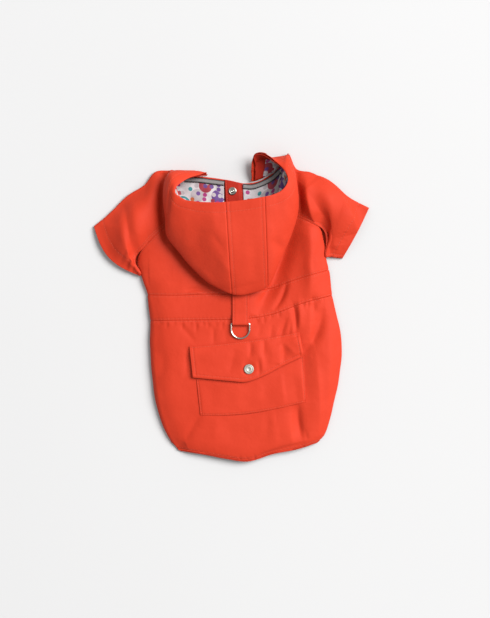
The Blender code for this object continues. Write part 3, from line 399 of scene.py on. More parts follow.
FLAP_CREASES = (
    (302, 356, 300, 346, 297, 336, 12, 3, 3.4),
    (279, 366, 281, 354, 279, 343, 10, 3, 2.4),
    (262, 372, 261, 358, 262, 342, 9, 3, 1.8),
    (229, 374, 233, 361, 236, 348, 4, 4, -1.0),
    (249, 358, 252, 350, 250, 341, 3, 3, -1.7),
    (262, 358, 264, 348, 264, 339, 3, 3, -1.9),
    (259, 376, 260, 368, 258, 359, 2.5, 2.5, -1.6),
    (281, 364, 284, 354, 283, 343, 4, 4, -1.6),
    (297, 356, 290, 348, 281, 341, 3, 3, 0.9),
    (212, 374, 214, 361, 211, 349, 10, 9, 0.7),
    (244, 376, 243, 368, 241, 360, 3, 3, 0.5),
    (271, 368, 273, 356, 272, 344, 4, 4, 0.7),
)

# Name, place, target, size and power of each light, in metres and watts.
LIGHTS = (("key", (6.4, 3.3, 7.4), (0, 0, 0), 7.0, 1735),)
AMBIENT = 0.55
FLOOR_TONE = (0.562, 0.56, 0.56)

STITCH_PITCH, STITCH_LENGTH, THREAD_WIDTH = 3.1, 2.35, 0.5
# Lines of stitches: the piece's edge, how far in, what is left out at each end, and its puckers' height.
STITCHED = {
    "yoke": (("left", 2.4, 0, 31, 0.1), ("right", 2.4, 0, 31, 0.1), ("low", 1.8, 2, 2, 0.1)),
    "waistband": (("top", 2.0, 2, 2, 0.12), ("low", 2.0, 2, 2, 0.16)),
    "skirt": (("top", 1.6, 2, 2, 0.14), ("low", 1.3, 2, 2, 0.12)),
    "hem_band": (),
    "sleeve_left": (("left", 2.2, 0, 0, 0.1), ("left", 5.4, 0, 0, 0.05), ("low", 14.0, 0, 0, 0.14)),
    "sleeve_right": (("left", 2.2, 0, 0, 0.1), ("left", 5.4, 0, 0, 0.05), ("low", 14.0, 0, 0, 0.14)),
    "hood_left": (("low", 12.5, 10, 0, 0.1), ("top", 2.0, 0, 0, 0.1)),
    "hood_centre": (
        ("left", 4.8, 0, 0, 0.06),
        ("right", 4.8, 0, 0, 0.06),
        ("low", 12.5, 0, 0, 0.1),
        ("top", 2.0, 0, 0, 0.1),
    ),
    "hood_right": (("low", 12.5, 0, 10, 0.1), ("top", 2.0, 0, 0, 0.1)),
    "pocket": (
        ("left", 1.7, 1, 1, 0.05),
        ("right", 1.7, 1, 1, 0.05),
        ("low", 1.7, 1, 1, 0.05),
    ),
    "pocket_flap": (
        ("top", 1.6, 1, 1, 0.05),
        ("left", 4.3, 1, 4, 0.07),
        ("right", 4.3, 1, 4, 0.07),
        ("low", 4.3, 4, 4, 0.07),
    ),
    "leash_strap": (("left", 2.2, 45, 2, 0.04), ("right", 2.2, 45, 2, 0.04)),
    "belly_left": (("right", 3.0, 1, 1, 0.1), ("low", 7.0, 1, 1, 0.14)),
    "belly_right": (("left", 3.0, 1, 1, 0.1), ("low", 7.0, 1, 1, 0.14)),
    "placket": (("left", 2.0, 1, 1, 0.04), ("right", 1.8, 1, 1, 0.04)),
    "hood_facing": (),
}


def smooth_each(knots, values, at):
    """Values on a smooth curve through the last axis of a table that may differ from place to place."""
    knots = np.asarray(knots, float)
    spans = np.diff(knots)
    slopes = np.diff(values, axis=-1) / spans
    inner = (slopes[..., :-1] * spans[1:] + slopes[..., 1:] * spans[:-1]) / (spans[1:] + spans[:-1])
    tangents = np.concatenate([slopes[..., :1], inner, slopes[..., -1:]], axis=-1)
    i = np.clip(np.searchsorted(knots, at, side="right") - 1, 0, len(knots) - 2)

    def pick(table_of, index):
        return np.take_along_axis(table_of, index[..., None], -1)[..., 0]

    f = (at - knots[i]) / spans[i]
    return (
        pick(values, i) * (1 - f) ** 2 * (1 + 2 * f)
        + pick(tangents, i) * spans[i] * f * (1 - f) ** 2
        + pick(values, i + 1) * f**2 * (3 - 2 * f)
        - pick(tangents, i + 1) * spans[i] * f**2 * (1 - f)
    )


def smooth(knots, rows, at):
    """The rows' values at places between them, on a smooth curve through all of them."""
    at = np.asarray(at, float)
    return smooth_each(knots, rows.T[(None,) * at.ndim], at[..., None])


def table(rows, knots=None):
    """The knots and values of a table whose first column is the knot, or that has even knots."""
    values = np.array(list(rows.values()) if isinstance(rows, dict) else rows, float)
    if knots is None:
        return values[:, 0], values[:, 1:]
    return np.asarray(knots, float), values


def even(count):
    return np.linspace(0, 1, count)


BACK = table(BACK_ROWS)
FRONT = table(FRONT_ROWS | {k: v for k, v in BACK_ROWS.items() if v[0] >= BACK_ROWS["underarm"][0]})
SLEEVES = {"left": table(LEFT_SLEEVE), "right": table(RIGHT_SLEEVE)}
HOOD = table(HOOD_RIBS, range(len(HOOD_RIBS)))
NECK_DOWN = BACK_ROWS["neck"][0]
FRONT_NECK_DOWN = FRONT_ROWS["neck"][0]
SEAM_TOP = BACK_ROWS["waist_top"][0]
SEAM_LOW = BACK_ROWS["waist_low"][0]
SEAM_HEM = BACK_ROWS["hem_seam"][0]
HEM = BACK_ROWS["hem"][0]
UNDERARM = BACK_ROWS["underarm"][0]
STATIONS = np.linspace(-1, 1, 7)


def edge_inset(fold):
    """How far the middle of a wall stays inside the line of its seam: the steeper, the farther."""
    return SHOWN_SEAM / 2 + CLOTH / 2 * fold**0.2


def body_row(rows, down):
    """A row's ends, its seven Ys, the heights of its ends and crown, and its fold from 0 to 1."""
    values = smooth(*rows, down)
    left, right, end_z, crown_z, fold = (values[..., i] for i in (0, 1, 9, 10, 11))
    lowest = BACK_EDGE if rows is BACK else FLAT
    return left, right, values[..., 2:9], np.maximum(end_z, lowest), crown_z, np.clip(fold, 0, 1)


def across(u, left, right, fold):
    """X, the share of the fold's height reached there, and where X is between the two ends."""
    middle, half = (left + right) / 2, (right - left) / 2 - edge_inset(fold)
    reach = np.abs(u)
    angle = np.clip((1 - reach) / FOLD_SHARE, 0, 1) * math.pi / 2
    folding = reach > 1 - FOLD_SHARE
    straight = FOLD + (half - FOLD) * (1 - reach / (1 - FOLD_SHARE))
    inset = np.where(folding, FOLD * (1 - np.cos(angle)), straight)
    x = middle + np.sign(u) * (half - inset)
    return x, np.sin(angle), (x - middle) / ((right - left) / 2)


def back_point(u, down):
    """A point in the middle of the back's wall: u from -1 at the left end to 1 at the right."""
    left, right, ys, end_z, crown_z, fold = body_row(BACK, down)
    x, lift, place = across(u, left, right, fold)
    y = smooth_each(STATIONS, ys, place)
    end_z = end_z + FOLD * fold * lift
    z = end_z + (crown_z - end_z) * (1 - np.abs(place) ** CROWN_POWER) * lift
    return np.stack([x, y, z], axis=-1)


def front_point(u, down):
    """The same for the belly, whose side folds come up from the table to the side seam."""
    left, right, ys, _, _, fold = body_row(FRONT, down)
    x, lift, place = across(u, left, right, fold)
    y = smooth_each(STATIONS, ys, place)
    return np.stack([x, y, FLAT + (BELLY_EDGE - FLAT) * fold * (1 - lift)], axis=-1)


def row_u(rows, x, down):
    """The u at which a row reaches x, away from its folds."""
    left, right, _, _, _, fold = body_row(rows, down)
    half = (right - left) / 2 - edge_inset(fold)
    return (x - (left + right) / 2) / (half - FOLD) * (1 - FOLD_SHARE)


def back_at(x, y):
    """The back's wall at places seen from above, and its normals."""
    low, high = np.full(x.shape, BACK[0][0]), np.full(x.shape, BACK[0][-1])
    for _ in range(24):
        down = (low + high) / 2
        u = row_u(BACK, x, down)
        point = back_point(u, down)
        below = point[..., 1] > y
        low, high = np.where(below, down, low), np.where(below, high, down)
    normal = np.cross(back_point(u + 0.002, down) - point, point - back_point(u, down + 1))
    return point, unit(normal)


def unit(vectors):
    return vectors / np.maximum(np.linalg.norm(vectors, axis=-1, keepdims=True), 1e-9)


def sleeve_seam(side, rows, down, past, rib_end):
    """Where a sleeve's ribs start beside the body: their places, heights and folds."""

    def edge(at):
        left, right, ys, end_z, _, fold = body_row(rows, at)
        place = (left, ys[..., 0]) if side == "left" else (right, ys[..., -1])
        return np.stack(place, axis=-1), end_z, fold

    (place, z, fold), behind = edge(down), edge(down - 1)[0]
    run = unit(place - behind)
    away = np.stack([run[..., 1], -run[..., 0]], axis=-1) * (1 if side == "left" else -1)
    place = place + (np.array(CUFF_SEAM[side]) - place) * past[..., None]
    turned_to = np.minimum(past * 3, 1)[..., None]
    away = away * (1 - turned_to) + unit(rib_end - place) * turned_to
    return place + unit(away) * edge_inset(fold)[..., None], z, fold


def sleeve_point(side, around, reach):
    """Points in the middle of a sleeve's wall: around from 0 at the back seam to 1 underneath."""
    knots, values = SLEEVES[side]
    around, reach = np.broadcast_arrays(np.asarray(around, float), np.asarray(reach, float))
    row = smooth(knots, values, reach)
    back_down, front_down, fold_x, fold_y, z1, z2, z3, bow = (row[..., i] for i in range(8))
    past = np.clip((reach - knots[-2]) / (knots[-1] - knots[-2]), 0, None)
    zones = np.array(SLEEVE_ZONES)
    zone = np.clip(np.searchsorted(zones, around, side="right") - 1, 0, 5)
    f = (around - zones[zone]) / (zones[zone + 1] - zones[zone])
    fold = np.stack([fold_x, fold_y], axis=-1)
    above = sleeve_seam(side, BACK, np.minimum(back_down, UNDERARM), past, fold)
    below = sleeve_seam(side, FRONT, np.minimum(front_down, UNDERARM), past, fold)
    seam = np.where((zone < 3)[..., None], above[0], below[0])
    seam_z, rear = (np.where(zone < 3, above[i], below[i]) for i in (1, 2))
    length = np.linalg.norm(fold - seam, axis=-1)
    line = (fold - seam) / length[..., None]
    run = length - CLOTH / 2
    turn = f * math.pi / 2
    top = np.stack([seam_z + FOLD * rear, z1, z2, z3, np.full(z1.shape, FOLD_MIDDLE + FOLD)], axis=-1)
    along = np.choose(
        zone,
        [
            FOLD * (1 - np.cos(turn)),
            FOLD + (run - 2 * FOLD) * f,
            run - FOLD * (1 - np.sin(turn)),
            run - FOLD * (1 - np.cos(turn)),
            run - FOLD - (run - 2 * FOLD) * f,
            FOLD * (1 - np.sin(turn)),
        ],
    )
    z = np.choose(
        zone,
        [
            seam_z + FOLD * rear * np.sin(turn),
            smooth_each(even(5), top, np.clip(f, 0, 1)),
            FOLD_MIDDLE + FOLD * np.cos(turn),
            FOLD_MIDDLE - (FOLD_MIDDLE - FLAT) * np.sin(turn),
            np.full(f.shape, FLAT),
            FLAT + (BELLY_EDGE - FLAT) * rear * (1 - np.cos(turn)),
        ],
    )
    outward = np.stack([-line[..., 1], line[..., 0]], axis=-1) * (1 if side == "left" else -1)
    bulge = bow * np.sin(math.pi * along / length)
    place = seam + line * along[..., None] + outward * bulge[..., None]
    return np.concatenate([place, z[..., None]], axis=-1)


CORNER_LEFT_U = row_u(FRONT, -30.5, FRONT_NECK_DOWN)
CORNER_RIGHT_U = row_u(FRONT, 27.0, FRONT_NECK_DOWN)


def neck_piece(edge, inside):
    """A point on a row of the body or a sleeve that is this far inside the neck's edge."""
    if edge <= 1:
        return front_point(CORNER_LEFT_U + (-1 - CORNER_LEFT_U) * edge, FRONT_NECK_DOWN + inside)
    if edge <= 2:
        return sleeve_point("left", 2 - edge, inside)
    if edge <= 3:
        return back_point(-1 + 2 * (edge - 2), NECK_DOWN + inside)
    if edge <= 4:
        return sleeve_point("right", edge - 3, inside)
    return front_point(1 + (CORNER_RIGHT_U - 1) * (edge - 4), FRONT_NECK_DOWN + inside)


def neck_edge(edge):
    """A point on the neck's edge, counted as in the hood's table, and the way straight out from it."""
    here = neck_piece(edge, 0)
    beyond = here - neck_piece(edge, 1)
    piece = min(int(edge), 4)
    before, after = (neck_piece(min(max(e, piece), piece + 1), 0) for e in (edge - 0.01, edge + 0.01))
    run = (after - before) / np.linalg.norm(after - before)
    beyond = beyond - run * beyond.dot(run)
    return here + beyond / np.linalg.norm(beyond) * (HOOD_SEAM + CLOTH / 2)


TUCK = table(TUCK_PROFILE)


def leading(start, end, out, up):
    """Points on the way from start to end: how far out they are, and how far up."""
    place = start[:, :2] + (end[:, :2] - start[:, :2]) * out[..., None]
    return np.concatenate([place, (start[:, 2] + (end[:, 2] - start[:, 2]) * up)[..., None]], axis=-1)


def hood_points(ribs, alongs):
    """Points in the middle of the hood's wall: a row for each station, 0 at the neck and 1 at the rim."""
    row = smooth(*HOOD, ribs)
    start = np.array([neck_edge(min(max(float(edge), 0), 5)) for edge in row[:, 0]])
    turn, rim, tuck, roundness = row[:, 1:4], row[:, 4:7], row[:, 7], row[:, 8]
    along = np.broadcast_to(alongs if np.ndim(alongs) == 2 else alongs[:, None], (len(alongs), len(ribs)))
    f = np.clip(along / UNDERSIDE_SHARE, 0, 1)
    tucked = smooth(*TUCK, f)
    out, up = (tucked[..., i] * tuck + f * (1 - tuck) for i in (0, 1))
    under = leading(start, turn, out, up)
    angle = np.clip((along - UNDERSIDE_SHARE) / (1 - UNDERSIDE_SHARE), 0, 1) * math.pi / 2
    out = 1 - np.maximum(np.cos(angle), 0) ** (2 / roundness)
    up = np.sin(angle) ** (2 / roundness)
    over = leading(turn, rim, out, up)
    return np.where((along < UNDERSIDE_SHARE)[..., None], under, over)


# ---- grids, relief and meshes ----


def spaced(start, end, step, fine, reach):
    """Stations from start to end, closer together within reach of both ends."""
    length = abs(end - start)
    reach = min(reach, length / 2)
    near = np.linspace(0, reach, max(int(reach / fine), 1) + 1)
    between = np.linspace(reach, length - reach, max(int((length - 2 * reach) / step), 1) + 1)
    every = np.concatenate([near[:-1], between, (length - near[::-1])[1:]])
    return start + (end - start) * every / length


def normals_of(points, facing):
    """The grid's unit normals on its outer side: facing is 1 or -1, by how the grid runs."""
    columns, rows = (unit(np.gradient(points, axis=axis)) for axis in (1, 0))
    return unit(np.cross(columns, rows)) * facing


def crease_field(x, y, creases):
    """The height of listed troughs and ridges at places seen from above.

    Each crease is a bent line from its start past its middle to its end. It has a height, negative for a
    trough, a width on its left and on its right side, and dies out towards its ends."""
    total = np.zeros(x.shape)
    share = np.linspace(0, 1, CREASE_STEPS + 1)
    for x0, y0, xm, ym, x1, y1, left, right, height in creases:
        a = np.stack([x0 * (1 - share) ** 2, y0 * (1 - share) ** 2], -1)
        b = np.stack([xm * 2 * share * (1 - share), ym * 2 * share * (1 - share)], -1)
        c = np.stack([x1 * share**2, y1 * share**2], -1)
        line = a + b + c
        reach = 3 * max(left, right)
        near = (
            (x > line[:, 0].min() - reach)
            & (x < line[:, 0].max() + reach)
            & (y > line[:, 1].min() - reach)
            & (y < line[:, 1].max() + reach)
        )
        if not near.any():
            continue
        px, py = x[near], y[near]
        best = np.full(px.shape, 1e9)
        side, place = np.zeros(px.shape), np.zeros(px.shape)
        for k in range(CREASE_STEPS):
            (ax, ay), (bx, by) = line[k], line[k + 1]
            dx, dy = bx - ax, by - ay
            size = max(dx * dx + dy * dy, 1e-9)
            f = ((px - ax) * dx + (py - ay) * dy) / size
            g = np.clip(f, 0, 1)
            distance = np.hypot(px - ax - dx * g, py - ay - dy * g)
            closer = distance < best
            best = np.where(closer, distance, best)
            side = np.where(closer, (px - ax) * dy - (py - ay) * dx, side)
            place = np.where(closer, (k + g) / CREASE_STEPS, place)
        width = np.where(side > 0, right, left)
        ends = np.clip(np.sin(math.pi * np.clip(place, 0.02, 0.98)), 0, 1) ** 0.7
        total[near] += height * ends * np.exp(-((best / width) ** CREASE_POWER))
    return total


def from_photo(rows, level):
    """A crease table's rows, from the photograph's pixels to millimetres at a height."""
    nearer = 1 - level / CAMERA_HEIGHT
    placed = []
    for *ends, left, right, height in rows:
        points = []
        for px, py in zip(ends[::2], ends[1::2]):
            points.append(PHOTO_MIDDLE[0] + ((px - PHOTO_ZERO[0]) * PIXEL - PHOTO_MIDDLE[0]) * nearer)
            points.append(PHOTO_MIDDLE[1] + ((PHOTO_ZERO[1] - py) * PIXEL - PHOTO_MIDDLE[1]) * nearer)
        placed.append((*points, left * PIXEL, right * PIXEL, height))
    return placed


def uneven(at):
    """Small waves of uneven length and height, from -1 to 1."""
    return 0.55 * np.sin(at) + 0.45 * np.sin(1.73 * at + 1.3) * np.cos(0.31 * at + 0.5)


def waves(x, y, table_of):
    """Slow swells of the cloth: rows of wavelength, direction in degrees, phase and height."""
    total = np.zeros(x.shape)
    for length, direction, phase, height in table_of:
        angle = math.radians(direction)
        total += height * np.sin((x * math.cos(angle) + y * math.sin(angle)) * 2 * math.pi / length + phase)
    return total


class Skin:
    """A grid of points on a cloth's outer face, with the normals of its outer side."""

    def __init__(self, points, facing):
        self.points, self.facing = points, facing
        self.normals = normals_of(points, facing)

    def moved(self, distance):
        """The same skin, moved along its normals by one distance or one for each point."""
        distance = np.asarray(distance, float)
        if distance.ndim:
            distance = distance[..., None]
        return Skin(self.points + self.normals * distance, self.facing)

    def passed(self, side):
        """How far each point is from one edge of the grid, along the cloth."""
        axis = int(side in ("left", "right"))
        steps = np.linalg.norm(np.diff(self.points, axis=axis), axis=2)
        pad = ((0, 0), (1, 0)) if axis else ((1, 0), (0, 0))
        total = np.cumsum(np.pad(steps, pad), axis=axis)
        return total.take([-1], axis) - total if side in ("low", "right") else total

    def line(self, side, offset):
        """A line this far in from one edge of the grid, with its normals."""
        points, normals, passed = self.points, self.normals, self.passed(side)
        if side in ("left", "right"):
            points, normals, passed = points.transpose(1, 0, 2), normals.transpose(1, 0, 2), passed.T
        if side in ("low", "right"):
            points, normals, passed = points[::-1], normals[::-1], passed[::-1]
        i = np.clip((passed <= offset).sum(axis=0) - 1, 0, len(passed) - 2)
        j = np.arange(passed.shape[1])
        f = np.clip((offset - passed[i, j]) / np.maximum(passed[i + 1, j] - passed[i, j], 1e-6), 0, 1)
        f = f[:, None]
        along = points[i, j] * (1 - f) + points[i + 1, j] * f
        return along, unit(normals[i, j] * (1 - f) + normals[i + 1, j] * f)


SEWN_LINES = []


def trimmed(along, normals, first, last):
    """A line without this length at each end."""
    steps = np.linalg.norm(np.diff(along, axis=0), axis=1)
    at = np.concatenate([[0], np.cumsum(steps)])
    kept = (at >= first) & (at <= at[-1] - last)
    return along[kept], normals[kept]


def sewn(skin, piece):
    """The skin with its stitched lines pressed in and puckered, by the table of them."""
    relief = np.zeros(skin.points.shape[:2])
    rows = STITCHED.get(piece, ())
    for side, offset, first, last, pucker in rows:
        near = skin.passed(side)
        upright = side in ("left", "right")
        beside = skin.passed("top" if upright else "left")
        end = beside.max(axis=0 if upright else 1, keepdims=True)
        held = np.clip((beside - first) / 3 + 1, 0, 1) * np.clip((end - last - beside) / 3 + 1, 0, 1)
        relief -= STITCH_GROOVE * held * np.exp(-(((near - offset) / STITCH_WIDTH) ** 2))
        gathered = np.exp(-(((near - offset) / PUCKER_WIDTH) ** 2))
        gathered = gathered * uneven(beside * PUCKER_PACE + offset * 3)
        relief += pucker * held * gathered
    skin = skin.moved(relief)
    for side, offset, first, last, _ in rows:
        SEWN_LINES.append(trimmed(*skin.line(side, offset), first, last))
    return skin


def make_threads():
    """Every stitch as a short strand that dips into the cloth at both ends."""
    starts, ends, ups = [], [], []
    for along, normals in SEWN_LINES:
        if len(along) < 2:
            continue
        at = np.concatenate([[0], np.cumsum(np.linalg.norm(np.diff(along, axis=0), axis=1))])
        places = np.arange(STITCH_PITCH / 2, at[-1] - STITCH_LENGTH, STITCH_PITCH)
        for shift, found, values in (
            (0, starts, along),
            (STITCH_LENGTH, ends, along),
            (STITCH_LENGTH / 2, ups, normals),
        ):
            found.append(np.stack([np.interp(places + shift, at, values[:, i]) for i in range(3)], -1))
    start, end, up = (np.concatenate(part) for part in (starts, ends, ups))
    run = unit(end - start)
    up = unit(up - run * (up * run).sum(axis=1, keepdims=True))
    aside = np.cross(run, up)
    middle, half = (start + end) / 2, np.linalg.norm(end - start, axis=1, keepdims=True) / 2
    points = [middle - run * half - up * 0.15]
    for f, wide in ((-0.8, 0.7), (-0.3, 1.0), (0.3, 1.0), (0.8, 0.7)):
        centre = middle + run * half * f + up * (0.1 - 0.2 * f**4)
        for angle in np.arange(6) * math.pi / 3:
            reach = aside * math.cos(angle) / 2 + up * math.sin(angle) * 0.4
            points.append(centre + reach * THREAD_WIDTH * wide)
    points.append(middle + run * half - up * 0.15)
    faces = []
    for k in range(6):
        n = (k + 1) % 6
        faces.append((0, 1 + n, 1 + k))
        faces += [(1 + 6 * r + k, 1 + 6 * r + n, 7 + 6 * r + n, 7 + 6 * r + k) for r in range(3)]
        faces.append((25, 19 + k, 19 + n))
    count, points = len(points), np.stack(points, axis=1)
    every = [tuple(i + count * s for i in face) for s in range(len(points)) for face in faces]
    mesh = bpy.data.meshes.new("topstitching")
    mesh.from_pydata((points.reshape(-1, 3) * MM).tolist(), [], every)
    mesh.shade_smooth()
    made = add_object("topstitching", mesh, thread())
    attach(made, "coat")


def link_object(name, data):
    made = bpy.data.objects.new(name, data)
    bpy.context.scene.collection.objects.link(made)
    return made


def add_object(name, mesh, finish):
    mesh.materials.append(finish)
    return link_object(name, mesh)


def cloth(name, skin, finish, thickness=SHOWN_CLOTH, nodes=()):
    """A thin shell under a skin, with UVs in metres along the cloth."""
    points = skin.points
    rows, columns = points.shape[:2]
    index = np.arange(rows * columns).reshape(rows, columns)
    quads = np.stack([index[:-1, :-1], index[:-1, 1:], index[1:, 1:], index[1:, :-1]], -1).reshape(-1, 4)
    if skin.facing < 0:
        quads = quads[:, ::-1]
    mesh = bpy.data.meshes.new(name)
    mesh.from_pydata((points.reshape(-1, 3) * MM).tolist(), [], quads.tolist())
    mesh.shade_smooth()
    u, v = skin.passed("left"), skin.passed("top")
    u = u - u[:, columns // 2 : columns // 2 + 1]
    flat = np.stack([u, v], axis=-1).reshape(-1, 2) * MM
    layer = mesh.uv_layers.new(name="cloth")
    layer.data.foreach_set("uv", flat[quads.ravel()].ravel().astype(np.float32))
    made = add_object(name, mesh, finish)
    wall = made.modifiers.new("wall", "SOLIDIFY")
    wall.thickness = thickness * MM
    wall.offset = -1
    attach(made, "coat")
    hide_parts(*nodes)
    return made


# ---- materials ----

NYLON_TONES = ((0.3, (0.493, 0.031, 0.0096)), (0.7, (0.544, 0.038, 0.0134)))
# The facing's tones are the coat's nylon made darker: painted shade for the facing inside the hood's rim and
# the placket.
SHADED_FACING_TONES = ((0.3, (0.333, 0.0141, 0.0051)), (0.7, (0.397, 0.0192, 0.0077)))
# The thread's own red, with a paler, pinker end that is a painted highlight along the stitches.
THREAD_AND_HIGHLIGHT_TONES = ((0.35, (0.42, 0.040, 0.016)), (0.65, (0.60, 0.085, 0.040)))
LINING_TONES = ((0.35, (0.499, 0.448, 0.461)), (0.65, (0.563, 0.531, 0.538)))
PRINT_TONES = (
    (0.0, (0.384, 0.339, 0.352)),
    (0.16, (0.0192, 0.192, 0.211)),
    (0.30, (0.474, 0.442, 0.448)),
    (0.42, (0.320, 0.0192, 0.141)),
    (0.54, (0.102, 0.038, 0.192)),
    (0.66, (0.461, 0.102, 0.032)),
    (0.78, (0.288, 0.0192, 0.038)),
    (0.90, (0.435, 0.384, 0.397)),
)
PRINT_DOTS = ((52, 0.42, 0.02), (120, 0.30, 0.03))  # how many a metre, their size and soft edge
TAPE_BLACK, TAPE_GREY, TAPE_PALE = (0.0128, 0.0115, 0.0128), (0.173, 0.160, 0.160), (0.320, 0.307, 0.301)
TAPE_STRIPES = (
    (0.0, TAPE_BLACK),
    (0.17, TAPE_GREY),
    (0.36, TAPE_PALE),
    (0.44, TAPE_GREY),
    (0.56, TAPE_PALE),
    (0.64, TAPE_GREY),
    (0.83, TAPE_BLACK),
)
NYLON_PITCH, LINING_PITCH, TAPE_PITCH = 0.0009, 0.0008, 0.0011  # of each weave, in metres
GLOSS_RANGE = 0.16  # how much roughness wanders


class Look:
    """A material's nodes, with short ways to add to them."""

    def __init__(self, name):
        self.made = bpy.data.materials.new(name)
        self.made.use_nodes = True
        self.tree = self.made.node_tree

    def fill(self, node, inputs):
        """Links a node's inputs to other nodes' outputs, or gives them their values."""
        for key, value in inputs.items():
            if isinstance(value, bpy.types.NodeSocket):
                self.tree.links.new(value, node.inputs[key])
            else:
                node.inputs[key].default_value = value

    def shade(self, **inputs):
        """Fills the shader's inputs, named with _ for each space, and gives the material."""
        named = {key.replace("_", " "): value for key, value in inputs.items()}
        self.fill(self.tree.nodes["Principled BSDF"], named)
        return self.made

    def node(self, kind, inputs, **settings):
        made = self.tree.nodes.new("ShaderNode" + kind)
        for key, value in settings.items():
            setattr(made, key, value)
        self.fill(made, inputs)
        return made

    def place(self):
        return self.node("TexCoord", {}).outputs["Object"]

    def along_cloth(self):
        return self.node("UVMap", {}, uv_map="cloth").outputs["UV"]

    def noise(self, place, scale, detail=3.0, rough=0.5):
        inputs = {"Vector": place, "Scale": scale, "Detail": detail, "Roughness": rough}
        return self.node("TexNoise", inputs).outputs["Fac"]

    def maths(self, operation, first, second=0):
        return self.node("Math", {0: first, 1: second}, operation=operation).outputs["Value"]

    def wander(self, fac, middle):
        return self.maths("ADD", self.maths("MULTIPLY", fac, GLOSS_RANGE), middle - GLOSS_RANGE / 2)

    def wave(self, length, pitch):
        return self.maths("SINE", self.maths("MULTIPLY", length, 2 * math.pi / pitch))

    def ramp(self, fac, stops, steps=False):
        made = self.node("ValToRGB", {"Fac": fac})
        line = made.color_ramp
        line.interpolation = "CONSTANT" if steps else "LINEAR"
        while len(line.elements) < len(stops):
            line.elements.new(0.5)
        for element, (place, colour) in zip(line.elements, stops):
            element.position, element.color = place, (*colour, 1)
        return made.outputs["Color"]

    def bump(self, height, distance, strength=1.0, before=None):
        inputs = {"Distance": distance, "Strength": strength, "Height": height}
        if before is not None:
            inputs["Normal"] = before
        return self.node("Bump", inputs).outputs["Normal"]

    def weave(self, pitch):
        """The height of a plain weave, from the cloth's own lengths: warp and weft take turns on top."""
        split = self.node("SeparateXYZ", {"Vector": self.along_cloth()}).outputs
        return self.maths("MULTIPLY", self.wave(split["X"], pitch), self.wave(split["Y"], pitch))


MADE = {}


def once(make):
    """Makes a material the first time it is asked for."""

    def given():
        if make.__name__ not in MADE:
            MADE[make.__name__] = make()
        return MADE[make.__name__]

    return given


def nylon_of(name, tones):
    """Coated nylon: a fine weave, faint crumples and a tone that wanders a little."""
    look = Look(name)
    place = look.place()
    crumples = look.bump(look.noise(place, 75, 4, 0.55), 0.0011, 0.55)
    grain = look.bump(look.noise(place, 420, 3, 0.6), 0.00016, 0.6, crumples)
    return look.shade(
        Base_Color=look.ramp(look.noise(place, 16, 5, 0.6), tones),
        Roughness=look.wander(look.noise(place, 60, 3), 0.66),
        Normal=look.bump(look.weave(NYLON_PITCH), 0.00003, 0.6, grain),
        Sheen_Weight=0.03,
        Sheen_Roughness=0.4,
        Sheen_Tint=(1.0, 0.45, 0.35, 1),
        Specular_IOR_Level=0.17,
    )


@once
def nylon():
    return nylon_of("coat_nylon", NYLON_TONES)


# The coat's nylon with darker tones, which paint the shade inside the hood's rim onto the facing and the
# placket.
@once
def shaded_facing_nylon():
    return nylon_of("shaded_facing_nylon", SHADED_FACING_TONES)


# The thread's colour is partly its own red and partly a painted highlight: its paler tone stands in for the
# shine on the stitches.
@once
def thread():
    look = Look("sewing_thread_and_highlight")
    tone = look.noise(look.place(), 900, 2)
    return look.shade(
        Base_Color=look.ramp(tone, THREAD_AND_HIGHLIGHT_TONES), Normal=look.bump(tone, 0.0001, 0.6), Roughness=0.55
    )


@once
def printed_lining():
    """A smooth lining printed with scattered dots of a few bright tones on a pale ground."""
    look = Look("lining_print")
    place = look.along_cloth()
    colour = look.ramp(look.noise(place, 90, 2), LINING_TONES)
    for scale, size, soft in PRINT_DOTS:
        inputs = {"Scale": scale, "Randomness": 0.75, "Vector": place}
        cells = look.node("TexVoronoi", inputs, voronoi_dimensions="2D").outputs
        split = look.node("SeparateColor", {"Color": cells["Color"]}).outputs
        inside = look.ramp(cells["Distance"], ((size, (1, 1, 1)), (size + soft, (0, 0, 0))))
        dots = {"Factor": inside, "A": colour, "B": look.ramp(split["Red"], PRINT_TONES, steps=True)}
        colour = look.node("Mix", dots, data_type="RGBA").outputs["Result"]
    crumples = look.bump(look.noise(look.place(), 110, 3), 0.0008, 0.5)
    weave = look.bump(look.weave(LINING_PITCH), 0.00003, 0.6, crumples)
    return look.shade(Base_Color=colour, Normal=weave, Roughness=0.62, Sheen_Weight=0.05)


@once
def woven_tape():
    """A grey tape with dark edges and two fine stripes, ribbed across."""
    look = Look("tape_weave")
    split = look.node("SeparateXYZ", {"Vector": look.along_cloth()}).outputs
    share = look.maths("MULTIPLY", split["Y"], 1 / (TAPE_WIDTH * MM))
    return look.shade(
        Base_Color=look.ramp(share, TAPE_STRIPES, steps=True),
        Normal=look.bump(look.wave(split["X"], TAPE_PITCH), 0.00012, 0.8),
        Roughness=0.8,
    )


def metal_of(name, colour, roughness):
    """Plated metal with faint scuffs."""
    look = Look(name)
    scuffs = look.noise(look.place(), 700, 4, 0.6)
    light = tuple(min(c * 1.12, 1) for c in colour)
    return look.shade(
        Base_Color=look.ramp(scuffs, ((0.3, colour), (0.7, light))),
        Roughness=look.wander(scuffs, roughness),
        Normal=look.bump(scuffs, 0.00004, 0.5),
        Metallic=1,
    )


@once
def nickel():
    return metal_of("plated_nickel", (0.36, 0.34, 0.30), 0.28)


@once
def dull_nickel():
    return metal_of("dull_nickel", (0.44, 0.44, 0.39), 0.6)


@once
def floor_paper():
    look = Look("floor_paper")
    low, high = (tuple(c + d for c in FLOOR_TONE) for d in (-0.004, 0.004))
    tone = look.noise(look.place(), 1.5, 2)
    return look.shade(Base_Color=look.ramp(tone, ((0.3, low), (0.7, high))), Roughness=0.9)


# ---- the coat's pieces ----

